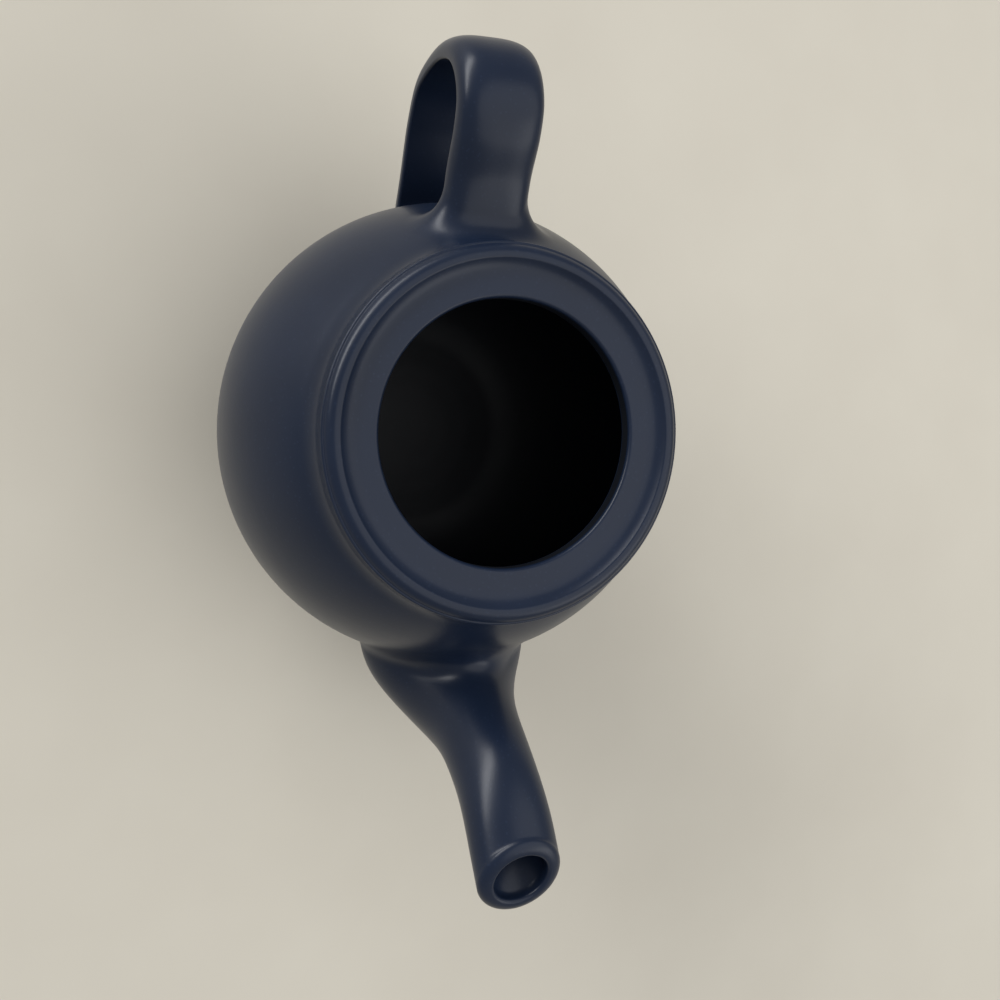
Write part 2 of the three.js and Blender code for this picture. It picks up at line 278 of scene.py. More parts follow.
@dataclass(frozen=True)
class SatinGlaze:
    """Dark blue satin glaze on stoneware, dipped and fired.

    Its crystals scatter the light a little, so it shows broad soft highlights, a faint grain and
    no sharp mirror. Clouds, specks and swells have the sizes of real ones. The real grain is about
    0.1 mm wide and would not show, so it is drawn coarser.
    """

    name: str = "stoneware_satin_navy_glaze"
    deep: str = "#121b2c"
    pale: str = "#182337"
    speck: str = "#242f44"
    roughness: tuple[float, float] = (0.28, 0.35)
    ior: float = 1.5
    gloss_level: float = 0.28
    gloss_clouds: tuple[float, float] = (0.3, 0.7)
    cloud_size: float = 28 * MM
    cloud_detail: float = 3.0
    grain_size: float = 0.7 * MM
    grain_detail: float = 2.0
    speck_size: float = 1.6 * MM
    speck_edge: tuple[float, float] = (0.10, 0.24)
    speck_strength: float = 0.35
    swell_size: float = 11 * MM
    swell_detail: float = 1.0
    grain_height: float = 0.012 * MM
    swell_height: float = 0.05 * MM

    def material(self) -> bpy.types.Material:
        """Build the glaze's material.

        Returns:
            The material, whose patterns read Object coordinates.
        """
        material, tree = new_material(self.name)
        place = add_node(tree, "ShaderNodeTexCoord").outputs["Object"]
        clouds, grain, swell = (
            add_node(tree, "ShaderNodeTexNoise", {"Scale": 1 / size, "Detail": detail}, {"Vector": place})
            for size, detail in (
                (self.cloud_size, self.cloud_detail),
                (self.grain_size, self.grain_detail),
                (self.swell_size, self.swell_detail),
            )
        )
        colour = add_node(
            tree,
            "ShaderNodeMix",
            {"A": linear(self.deep), "B": linear(self.pale)},
            {"Factor": clouds.outputs["Fac"]},
            data_type="RGBA",
        )
        specks = add_node(tree, "ShaderNodeTexVoronoi", {"Scale": 1 / self.speck_size}, {"Vector": place})
        spots = add_node(
            tree,
            "ShaderNodeMapRange",
            dict(zip(RANGE_ENDS, (*self.speck_edge, self.speck_strength, 0.0))),
            {"Value": specks.outputs["Distance"]},
            interpolation_type="SMOOTHSTEP",
        )
        speckled = add_node(
            tree,
            "ShaderNodeMix",
            {"B": linear(self.speck)},
            {"Factor": spots.outputs["Result"], "A": colour.outputs["Result"]},
            data_type="RGBA",
        )
        gloss = add_node(
            tree,
            "ShaderNodeMapRange",
            dict(zip(RANGE_ENDS, (*self.gloss_clouds, *self.roughness))),
            {"Value": clouds.outputs["Fac"]},
        )
        broad, fine = (
            add_node(tree, "ShaderNodeBump", {"Distance": height}, {"Height": bumps.outputs["Fac"]})
            for height, bumps in ((self.swell_height, swell), (self.grain_height, grain))
        )
        tree.links.new(broad.outputs["Normal"], fine.inputs["Normal"])
        shader = add_node(
            tree,
            "ShaderNodeBsdfPrincipled",
            {"IOR": self.ior, "Specular IOR Level": self.gloss_level},
            {
                "Base Color": speckled.outputs["Result"],
                "Roughness": gloss.outputs["Result"],
                "Normal": fine.outputs["Normal"],
            },
        )
        add_node(tree, "ShaderNodeOutputMaterial", links={"Surface": shader.outputs["BSDF"]})
        return material


@dataclass(frozen=True)
class PaintedShadeInsideGlaze(SatinGlaze):
    """The same glaze inside the pot, painted darker as painted shade of the hollow, and duller.

    It gives back little light, so the inside reads as a dark hollow with one dim patch on its wall.
    """

    name: str = "stoneware_inside_painted_shade_glaze"
    # Darker than the outer glaze's colours: painted shade of the hollow inside the pot
    deep: str = "#0c0f15"
    pale: str = "#10141b"
    speck: str = "#141820"
    roughness: tuple[float, float] = (0.5, 0.58)
    gloss_level: float = 0.24


@dataclass(frozen=True)
class FiredClay:
    """Bare stoneware of the foot ring, wiped clean of glaze and fired.

    It is dry and sandy, buff with small iron spots, up to a line in waves about 11 mm long where
    the glaze begins. Its grit has its real size.
    """

    glaze: SatinGlaze
    name: str = "stoneware_bare_foot"
    body: str = "#b39f86"
    iron: str = "#7d654c"
    line_height: float = 2.2 * MM
    line_wave: float = 0.8 * MM
    wave_scale: float = 90.0
    roughness: float = 0.85
    iron_edge: tuple[float, float] = (0.62, 0.72)
    grit_size: float = 0.5 * MM
    grit_detail: float = 3.0
    grit_height: float = 0.06 * MM

    def material(self) -> bpy.types.Material:
        """Build the material of the foot, clay below and glaze above its line.

        Returns:
            The material, whose patterns read Object coordinates.
        """
        material, tree = new_material(self.name)
        place = add_node(tree, "ShaderNodeTexCoord").outputs["Object"]
        height = add_node(tree, "ShaderNodeSeparateXYZ", links={"Vector": place}).outputs["Z"]
        wave = add_node(tree, "ShaderNodeTexNoise", {"Scale": self.wave_scale}, {"Vector": place})
        line = add_node(
            tree,
            "ShaderNodeMapRange",
            {"To Min": self.line_height - self.line_wave, "To Max": self.line_height + self.line_wave},
            {"Value": wave.outputs["Fac"]},
        )
        glazed = add_node(
            tree, "ShaderNodeMath", links={0: height, 1: line.outputs["Result"]}, operation="GREATER_THAN"
        )
        grit = add_node(
            tree,
            "ShaderNodeTexNoise",
            {"Scale": 1 / self.grit_size, "Detail": self.grit_detail},
            {"Vector": place},
        )
        spots = add_node(
            tree,
            "ShaderNodeMapRange",
            dict(zip(RANGE_ENDS, self.iron_edge)),
            {"Value": grit.outputs["Fac"]},
        )
        clay = add_node(
            tree,
            "ShaderNodeMix",
            {"A": linear(self.body), "B": linear(self.iron)},
            {"Factor": spots.outputs["Result"]},
            data_type="RGBA",
        )
        colour = add_node(
            tree,
            "ShaderNodeMix",
            {"B": linear(self.glaze.deep)},
            {"Factor": glazed.outputs["Value"], "A": clay.outputs["Result"]},
            data_type="RGBA",
        )
        gloss = add_node(
            tree,
            "ShaderNodeMapRange",
            {"To Min": self.roughness, "To Max": self.glaze.roughness[1]},
            {"Value": glazed.outputs["Value"]},
        )
        rough = add_node(
            tree, "ShaderNodeBump", {"Distance": self.grit_height}, {"Height": grit.outputs["Fac"]}
        )
        shader = add_node(
            tree,
            "ShaderNodeBsdfPrincipled",
            links={
                "Base Color": colour.outputs["Result"],
                "Roughness": gloss.outputs["Result"],
                "Normal": rough.outputs["Normal"],
            },
        )
        add_node(tree, "ShaderNodeOutputMaterial", links={"Surface": shader.outputs["BSDF"]})
        return material


# The turned pot


def bend(start: tuple, corner: tuple, end: tuple, steps: int = 10) -> np.ndarray:
    """Points of a curve that leaves one point towards a corner and reaches another from it.

    Args:
        start: Radius and height of the first point.
        corner: Radius and height of the corner.
        end: Radius and height of the last point.
        steps: Facets of the curve.

    Returns:
        The curve's points.
    """
    share = np.linspace(0, 1, steps + 1)[:, None]
    a, b, c = (np.array(p, float) for p in (start, corner, end))
    return a * (1 - share) ** 2 + b * 2 * share * (1 - share) + c * share**2


def rounded(corners: list[tuple[float, float, float]], steps: int = 10) -> np.ndarray:
    """Run a line through corners and round each inner one with an arc.

    Args:
        corners: Radius, height and rounding of each corner. The first and last are plain ends.
        steps: Facets of each arc.

    Returns:
        The line's points, ends included.
    """
    spots = [np.array(corners[0][:2], float)]
    for before, corner, after in zip(corners, corners[1:], corners[2:]):
        middle, size = np.array(corner[:2], float), corner[2]
        back = np.array(before[:2]) - middle
        on = np.array(after[:2]) - middle
        back, on = back / np.linalg.norm(back), on / np.linalg.norm(on)
        half = math.acos(float(np.clip(back @ on, -1, 1))) / 2
        centre = middle + (back + on) / np.linalg.norm(back + on) * size / math.sin(half)
        first = middle + back * size / math.tan(half) - centre
        last = middle + on * size / math.tan(half) - centre
        sweep = math.pi - 2 * half
        for i in range(steps + 1):
            share = i / steps
            lean = first * math.sin((1 - share) * sweep) + last * math.sin(share * sweep)
            spots.append(centre + lean / math.sin(sweep))
    spots.append(np.array(corners[-1][:2], float))
    return np.array(spots)


@dataclass(frozen=True)
class PotShape:
    """The thrown pot's section. Its main sizes come from the frame, the others are its own.

    The outer wall is half an ellipse above the equator and half of another below it. A name that
    ends in round is the radius of an edge, and one that ends in steps counts the facets of a bend.
    """

    axis: float
    radius: float
    base: float
    shoulder: float
    rim: float
    foot_outer: float
    foot_inner: float
    seat: float
    ledge: float
    under_seat: float
    mouth: float
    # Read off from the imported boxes
    foot_width: float = 5 * MM
    ledge_drop: float = 2.2 * MM
    seat_drop: float = 7.2 * MM
    mouth_inset: float = 5.7 * MM
    # Wall and floor
    equator: float = 52 * MM
    shoulder_rise: float = 60 * MM
    wall: float = 4.5 * MM
    floor: float = 5 * MM
    # Collar and the fine line under its rim
    collar: float = 47.7 * MM
    flare: float = 5.8 * MM
    line_drop: float = 1.8 * MM
    line_round: float = 0.55 * MM
    line_foot: float = 0.3 * MM
    line_steps: int = 6
    # Round rim, its bevel and the mouth
    crest: float = 44.2 * MM
    crest_round: float = 3 * MM
    crest_share: float = 0.88
    crest_steps: int = 12
    bevel_top: float = 43.5 * MM
    bevel_round: float = 1 * MM
    bevel_foot: float = 41.2 * MM
    bevel_foot_round: float = 6.3 * MM
    mouth_round: float = 1.1 * MM
    # Inside under the collar and above the floor
    inside_round: float = 3 * MM
    throat_drop: float = 0.3 * MM
    floor_bend: float = 7 * MM
    bend_steps: int = 16
    floor_steps: int = 48
    # Foot ring
    foot_round: float = 1.2 * MM
    foot_fillet: float = 1.8 * MM
    # Finger rings of the inner wall
    ring_height: float = 0.015 * MM
    ring_pitch: float = 7 * MM

    @classmethod
    def from_frame(cls) -> "PotShape":
        """Read the pot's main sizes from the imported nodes' boxes.

        Returns:
            The section's sizes.
        """
        body, collar, seat, foot = (
            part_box(n) for n in ("body_shell", "rim_collar", "lid_seat", "foot_ring")
        )
        axis = (foot[0].x + foot[1].x) / 2
        return cls(
            axis=axis,
            radius=body[1].y,
            base=body[0].z,
            shoulder=body[1].z,
            rim=collar[1].z,
            foot_outer=foot[1].y,
            foot_inner=foot[1].y - cls.foot_width,
            seat=seat[1].y,
            ledge=collar[1].z - cls.ledge_drop,
            under_seat=collar[1].z - cls.seat_drop,
            mouth=seat[1].y - cls.mouth_inset,
        )

    @property
    def belly_drop(self) -> float:
        """Half height of the lower ellipse, which meets the foot ring's outer edge."""
        return (self.equator - self.base) / math.sqrt(1 - (self.foot_outer / self.radius) ** 2)

    def rise(self, height: np.ndarray | float) -> np.ndarray:
        """Half height of the ellipse that holds a height."""
        return np.where(np.asarray(height) < self.equator, self.belly_drop, self.shoulder_rise)

    def radius_at(self, height: float, inset: float = 0.0) -> float:
        """Radius of the wall at a height, on its surface moved in by an inset."""
        share = (height - self.equator) / (float(self.rise(height)) - inset)
        return (self.radius - inset) * math.sqrt(1 - share**2)

    def wall_line(self, low: float, high: float, inset: float = 0.0, steps: int = 120) -> np.ndarray:
        """Points up the wall.

        Args:
            low: Height of the first point.
            high: Height of the last point.
            inset: How far inside the outer surface.
            steps: Facets of the line.

        Returns:
            Radius and height of each point.
        """
        ends = [math.asin((h - self.equator) / (float(self.rise(h)) - inset)) for h in (low, high)]
        angles = np.linspace(*ends, steps + 1)
        rise = np.where(angles < 0, self.belly_drop, self.shoulder_rise) - inset
        return np.stack(
            [(self.radius - inset) * np.cos(angles), self.equator + rise * np.sin(angles)], axis=1
        )

    def under(self) -> np.ndarray:
        """The flat underside from the axis to the foot ring's fillet."""
        return np.array([[0.0, self.base], [self.foot_inner - self.foot_fillet, self.base]])

    def foot(self) -> np.ndarray:
        """The foot ring's shown section, from the underside round to the belly.

        Returns:
            Radius and height of the section's points in order.
        """
        slope = self.wall_line(self.base, self.shoulder)[:2]
        way = slope[1] - slope[0]
        out = slope[0] + way / np.linalg.norm(way) * self.foot_fillet * 2
        line = rounded(
            [
                (0.0, self.base, 0.0),
                (self.foot_inner, self.base, self.foot_fillet),
                (self.foot_inner, 0.0, self.foot_round),
                (self.foot_outer, 0.0, self.foot_round),
                (self.foot_outer, self.base, self.foot_fillet),
                (out[0], out[1], 0.0),
            ]
        )
        return line[1:-1]

    def belly(self) -> np.ndarray:
        """The outer wall from the foot to the collar."""
        return self.wall_line(self.base, self.shoulder)

    def top(self) -> np.ndarray:
        """The shown section from the shoulder over the rim, its bevel and the ledge to the mouth.

        Returns:
            Radius and height of the section's points in order.
        """
        start = self.belly()[-2:]
        way = start[1] - start[0]
        corner = self.shoulder + (self.collar - start[1][0]) * way[1] / way[0]
        wall_foot = (self.collar, self.shoulder + self.flare)
        flare = bend(tuple(start[1]), (self.collar, corner), wall_foot)
        line = self.rim - self.line_drop
        lean = math.acos(1 - self.line_drop / self.crest_round)
        middle = np.array([self.crest, self.rim - self.crest_round])
        foot = middle + self.crest_round * np.array([math.sin(lean), math.cos(lean)])
        on = foot + self.line_round * np.array([-math.cos(lean), math.sin(lean)])
        edge = rounded(
            [
                (*wall_foot, 0.0),
                (self.collar, line, self.line_round),
                (foot[0], line, self.line_foot),
                (on[0], on[1], 0.0),
            ],
            self.line_steps,
        )[1:-1]
        leans = np.linspace(lean * self.crest_share, 0, self.crest_steps)
        crest = middle + self.crest_round * np.stack([np.sin(leans), np.cos(leans)], axis=1)
        inner = rounded(
            [
                (self.crest, self.rim, 0.0),
                (self.bevel_top, self.rim, self.bevel_round),
                (self.bevel_foot, self.ledge, self.bevel_foot_round),
                (self.mouth, self.ledge, self.mouth_round),
                (self.mouth, self.under_seat, self.mouth_round),
                (self.seat, self.under_seat, 0.0),
            ]
        )[1:]
        return np.concatenate([flare, edge, crest, inner])

    def split_top(self) -> tuple[np.ndarray, np.ndarray]:
        """Divide the top's section at the seat's outer radius into the collar's and the seat's.

        Returns:
            The collar's points and the seat's, which share the point of the cut.
        """
        line = self.top()
        first = int(np.argmax(line[:, 0] < self.seat))
        before, after = line[first - 1], line[first]
        share = (before[0] - self.seat) / (before[0] - after[0])
        cut = (before + (after - before) * share)[None]
        return np.concatenate([line[:first], cut]), np.concatenate([cut, line[first:]])

    def throat(self) -> np.ndarray:
        """The collar's underside, from the seat down to the inner wall.

        Returns:
            Radius and height of the section's points in order.
        """
        inner = self.radius_at(self.shoulder, self.wall)
        knee = (self.seat + inner) / 2
        return rounded(
            [
                (self.seat, self.under_seat, 0.0),
                (knee, self.under_seat - self.throat_drop, self.inside_round),
                (inner, self.shoulder, 0.0),
            ]
        )

    def inside(self) -> np.ndarray:
        """The inner wall and floor down to the axis, with the potter's finger rings.

        Returns:
            Radius and height of the section's points in order.
        """
        top = self.base + self.floor
        bottom = top + self.floor_bend
        wall = self.wall_line(bottom, self.shoulder, self.wall)[::-1]
        way = wall[-1] - wall[-2]
        corner = wall[-1][0] + way[0] / way[1] * (top - wall[-1][1])
        flat = 2 * corner - wall[-1][0]
        round_off = bend(tuple(wall[-1]), (corner, top), (flat, top), self.bend_steps)[1:]
        steps = self.floor_steps
        floor = np.stack([np.linspace(flat, 0, steps + 1)[1:], np.full(steps, top)], axis=1)
        line = np.concatenate([wall, round_off, floor])
        run = np.concatenate([[0], np.cumsum(np.linalg.norm(np.diff(line, axis=0), axis=1))])
        fade = np.clip(np.minimum(run, run[-1] - run) / (2 * self.ring_pitch), 0, 1)
        ring = self.ring_height * fade * np.sin(run / self.ring_pitch * TURN)
        ways = np.gradient(line, axis=0)
        ways /= np.linalg.norm(ways, axis=1)[:, None]
        return line + np.stack([ways[:, 1], -ways[:, 0]], axis=1) * ring[:, None]

    def shown(self) -> np.ndarray:
        """The whole shown section in order, from the axis below to the axis inside.

        Returns:
            Radius and height of the section's points in order.
        """
        collar, seat = self.split_top()
        parts = [self.under(), self.foot(), self.belly()[1:], collar[1:], seat[1:-1]]
        return np.concatenate([*parts, self.throat(), self.inside()[1:]])

    def outside(self, spots: np.ndarray, inset: float = 0.0) -> np.ndarray:
        """Above zero outside the body's surface moved in by an inset, and below zero inside it.

        Args:
            spots: Spots in the frame.
            inset: How far inside the outer surface the border lies.

        Returns:
            One number for each spot.
        """
        flat = np.hypot(spots[..., 0] - self.axis, spots[..., 1]) / (self.radius - inset)
        up = (spots[..., 2] - self.equator) / (self.rise(spots[..., 2]) - inset)
        return flat**2 + up**2 - 1

    def normal(self, spots: np.ndarray) -> np.ndarray:
        """The body's outward direction at spots on its surface.

        Args:
            spots: Spots on the surface.

        Returns:
            A direction of length 1 for each spot.
        """
        squeeze = (self.radius / self.rise(spots[..., 2])) ** 2
        up = (spots[..., 2] - self.equator) * squeeze
        return unit(np.stack([spots[..., 0] - self.axis, spots[..., 1], up], axis=-1))

    def onto(self, spots: np.ndarray, inset: float = 0.0) -> np.ndarray:
        """Move spots in line with the body's middle onto its surface moved in by an inset."""
        middle = np.array([self.axis, 0.0, self.equator])
        return middle + (spots - middle) / np.sqrt(self.outside(spots, inset) + 1)[..., None]


def unit(ways: np.ndarray) -> np.ndarray:
    """Directions scaled to a length of 1."""
    return ways / np.maximum(np.linalg.norm(ways, axis=-1, keepdims=True), TINY)


def wheel_tree() -> bpy.types.NodeTree:
    """Build the tree that turns a section about an upright axis, as clay turns on a wheel.

    Returns:
        A tree with the inputs Facets, Axis X and Finish, which is fed with the section's points.
    """
    tree, given = new_geometry_tree(
        "potters_wheel",
        {"Facets": "NodeSocketInt", "Axis X": "NodeSocketFloat", "Finish": "NodeSocketMaterial"},
    )
    count = add_node(tree, "GeometryNodeAttributeDomainSize", links={0: given.outputs["Geometry"]})
    columns = add_node(tree, "ShaderNodeMath", {1: 1.0}, {0: given.outputs["Facets"]}, operation="ADD")
    grid = add_node(
        tree,
        "GeometryNodeMeshGrid",
        links={"Vertices X": columns.outputs[0], "Vertices Y": count.outputs["Point Count"]},
    )
    number = add_node(tree, "GeometryNodeInputIndex")
    halfway = add_node(tree, "ShaderNodeMath", {1: 0.5}, {0: number.outputs[0]}, operation="ADD")
    share = add_node(
        tree,
        "ShaderNodeMath",
        links={0: halfway.outputs[0], 1: count.outputs["Point Count"]},
        operation="DIVIDE",
    )
    column = add_node(tree, "ShaderNodeMath", links={0: share.outputs[0]}, operation="FLOOR")
    before = add_node(
        tree,
        "ShaderNodeMath",
        links={0: column.outputs[0], 1: count.outputs["Point Count"]},
        operation="MULTIPLY",
    )
    row = add_node(
        tree, "ShaderNodeMath", links={0: number.outputs[0], 1: before.outputs[0]}, operation="SUBTRACT"
    )
    place = add_node(tree, "GeometryNodeInputPosition")
    spot = add_node(
        tree,
        "GeometryNodeSampleIndex",
        links={
            "Geometry": given.outputs["Geometry"],
            "Value": place.outputs[0],
            "Index": row.outputs[0],
        },
        data_type="FLOAT_VECTOR",
        domain="POINT",
    )
    step = add_node(tree, "ShaderNodeMath", {0: TURN}, {1: given.outputs["Facets"]}, operation="DIVIDE")
    angle = add_node(
        tree, "ShaderNodeMath", links={0: column.outputs[0], 1: step.outputs[0]}, operation="MULTIPLY"
    )
    turned = add_node(
        tree,
        "ShaderNodeVectorRotate",
        links={"Vector": spot.outputs["Value"], "Angle": angle.outputs[0]},
        rotation_type="Z_AXIS",
    )
    aside = add_node(tree, "ShaderNodeCombineXYZ", links={"X": given.outputs["Axis X"]})
    centred = add_node(
        tree, "ShaderNodeVectorMath", links={0: turned.outputs[0], 1: aside.outputs[0]}, operation="ADD"
    )
    shaped = add_node(
        tree,
        "GeometryNodeSetPosition",
        links={"Geometry": grid.outputs["Mesh"], "Position": centred.outputs[0]},
    )
    closed = add_node(
        tree, "GeometryNodeMergeByDistance", {"Distance": FINE}, {"Geometry": shaped.outputs[0]}
    )
    real = add_node(tree, "GeometryNodeRealizeInstances", links={"Geometry": closed.outputs[0]})
    dressed = add_node(
        tree,
        "GeometryNodeSetMaterial",
        links={"Geometry": real.outputs[0], "Material": given.outputs["Finish"]},
    )
    add_node(tree, "NodeGroupOutput", links={"Geometry": dressed.outputs[0]})
    return tree


@dataclass
class ThrownPot:
    """The pieces turned on the wheel: body, foot ring, collar and lid seat."""

    shape: PotShape
    glaze: bpy.types.Material
    # The darker inside glaze, whose colour is painted shade of the pot's hollow
    inside_glaze: bpy.types.Material
    clay: bpy.types.Material
    facets: int = 224
    sink: float = 0.8 * MM
    match_gap: float = 0.5 * MM
    roof_tilt: float = -0.5

    def build(self, hole: Callable[[], bpy.types.Object]) -> None:
        """Turn, pierce and seat the four pieces.

        Args:
            hole: Makes the rod that pierces the wall behind the spout.
        """
        wheel = wheel_tree()
        shape = self.shape
        body = np.concatenate([shape.under()[:1], shape.belly(), shape.inside()])
        foot = shape.foot()
        foot_top = [[foot[-1][0], foot[-1][1] + self.sink], [foot[0][0], foot[0][1] + self.sink]]
        foot = np.concatenate([foot, foot_top, foot[:1]])
        collar, seat = shape.split_top()
        collar = np.concatenate([collar, shape.throat(), collar[:1]])
        buried = shape.seat + self.sink
        seat = np.concatenate([seat, [[buried, shape.under_seat], [buried, shape.ledge]], seat[:1]])
        pieces = {
            "pot_body": (body, self.glaze, Slot.GLAZE, "body_shell"),
            "pot_foot": (foot, self.clay, Slot.BARE_CLAY, "foot_ring"),
            "pot_collar": (collar, self.glaze, Slot.GLAZE, "rim_collar"),
            "pot_lid_seat": (seat, self.glaze, Slot.GLAZE, "lid_seat"),
        }
        for name, (section, finish, slot, node) in pieces.items():
            obj = self.turn(name, section, wheel, finish)
            if node == "body_shell":
                self.pierce(obj, hole())
            if slot is Slot.GLAZE:
                self.paint_inside_shade(obj.data)
            self.smooth(obj.data)
            publish(obj, slot, node)

    def turn(
        self,
        name: str,
        section: np.ndarray,
        wheel: bpy.types.NodeTree,
        finish: bpy.types.Material,
    ) -> bpy.types.Object:
        """Turn a section on the wheel.

        Args:
            name: The piece's name.
            section: Radius and height of its points in order.
            wheel: The tree that turns it.
            finish: Its material.

        Returns:
            The turned piece.
        """
        points = np.stack([section[:, 0], np.zeros(len(section)), section[:, 1]], axis=1)
        mesh = bpy.data.meshes.new(name)
        mesh.from_pydata(points.tolist(), [(i, i + 1) for i in range(len(points) - 1)], [])
        obj = new_object(name, mesh)
        run_tree(obj, wheel, {"Facets": self.facets, "Axis X": self.shape.axis, "Finish": finish})
        face_out(obj.data)
        return obj

    def pierce(self, obj: bpy.types.Object, rod: bpy.types.Object) -> None:
        """Cut a rod out of a piece and delete the rod.

        Args:
            obj: The piece.
            rod: The closed rod.
        """
        cut = obj.modifiers.new("pierce", "BOOLEAN")
        cut.operation = "DIFFERENCE"
        cut.object = rod
        bake(obj)
        bpy.data.objects.remove(rod)

    def paint_inside_shade(self, mesh: bpy.types.Mesh) -> None:
        """Give the faces inside the pot, in its mouth's bore and under its collar the inside glaze, whose
        darker colour is painted shade.

        Args:
            mesh: The mesh of a turned piece.
        """
        mesh.materials.clear()
        for glaze in (self.glaze, self.inside_glaze):
            mesh.materials.append(glaze)
        for face in mesh.polygons:
            x, y, z = face.center.x - self.shape.axis, face.center.y, face.center.z
            radius = math.hypot(x, y)
            within = self.shape.outside(np.array(face.center), self.shape.wall / 2) < 0
            bore = z > self.shape.shoulder and radius < self.shape.mouth + FINE
            roof = face.normal.z < self.roof_tilt and z > self.shape.equator
            # Faces inside the wall, in the bore and facing down under the collar take the darker glaze:
            # painted shade
            face.material_index = int(bore or roof or (within and z < self.shape.shoulder))

    def smooth(self, mesh: bpy.types.Mesh) -> None:
        """Give each corner the shown section's own direction, so that pieces meet without a crease.

        Args:
            mesh: The mesh of a turned piece.
        """
        line = self.shape.shown()
        ways = np.gradient(line, axis=0)
        out = unit(np.stack([ways[:, 1], -ways[:, 0]], axis=1))
        tree = KDTree(len(line))
        for i, (radius, height) in enumerate(line):
            tree.insert((radius, height, 0.0), i)
        tree.balance()
        normals = []
        own = [v.normal.copy() for v in mesh.vertices]
        for vertex in mesh.vertices:
            x, y = vertex.co.x - self.shape.axis, vertex.co.y
            radius = math.hypot(x, y)
            _, near, gap = tree.find((radius, vertex.co.z, 0.0))
            if gap > self.match_gap:
                normals.append(own[vertex.index])
                continue
            across, up = out[near]
            scale = across / radius if radius > FINE else 0.0
            normals.append(Vector((x * scale, y * scale, up)))
        mesh.normals_split_custom_set_from_vertices(normals)


# Tubes that grow out of the body


def spline(points: np.ndarray, shares: np.ndarray) -> np.ndarray:
    """A smooth curve through points that stand at unequal distances.

    Args:
        points: The points, one a row.
        shares: Places along the curve, where each stretch between two points counts alike.

    Returns:
        The curve's point at each share.
    """
    last = len(points) - 1
    place = np.clip(shares, 0, 1) * last
    first = np.minimum(place.astype(int), last - 1)
    part = (place - first)[..., None]
    padded = np.concatenate([[2 * points[0] - points[1]], points, [2 * points[-1] - points[-2]]])
    a, b, c, d = (padded[first + i] for i in range(4))
    ab, bc, cd = (np.linalg.norm(q - p, axis=-1, keepdims=True) ** 0.5 for p, q in ((a, b), (b, c), (c, d)))
    leave = ((b - a) / ab - (c - a) / (ab + bc) + (c - b) / bc) * bc
    reach = ((c - b) / bc - (d - b) / (bc + cd) + (d - c) / cd) * bc
    return (
        b
        + leave * part
        + (-3 * b + 3 * c - 2 * leave - reach) * part**2
        + (2 * b - 2 * c + leave + reach) * part**3
    )


def steady_spline(points: np.ndarray, shares: np.ndarray) -> np.ndarray:
    """A curve through evenly spaced points whose bend changes steadily, so that no highlight kinks.

    Args:
        points: The points, one a row.
        shares: Places along the curve, where each stretch between two points counts alike.

    Returns:
        The curve's point at each share.
    """
    last = len(points) - 1
    inner = 4 * np.eye(last - 1) + np.eye(last - 1, k=1) + np.eye(last - 1, k=-1)
    bends = np.zeros_like(points)
    bends[1:-1] = np.linalg.solve(inner, 6 * (points[:-2] - 2 * points[1:-1] + points[2:]))
    place = np.clip(shares, 0, 1) * last
    first = np.minimum(place.astype(int), last - 1)
    on = (place - first)[..., None]
    back = 1 - on
    bent = (back**3 - back) * bends[first] + (on**3 - on) * bends[first + 1]
    return back * points[first] + on * points[first + 1] + bent / 6


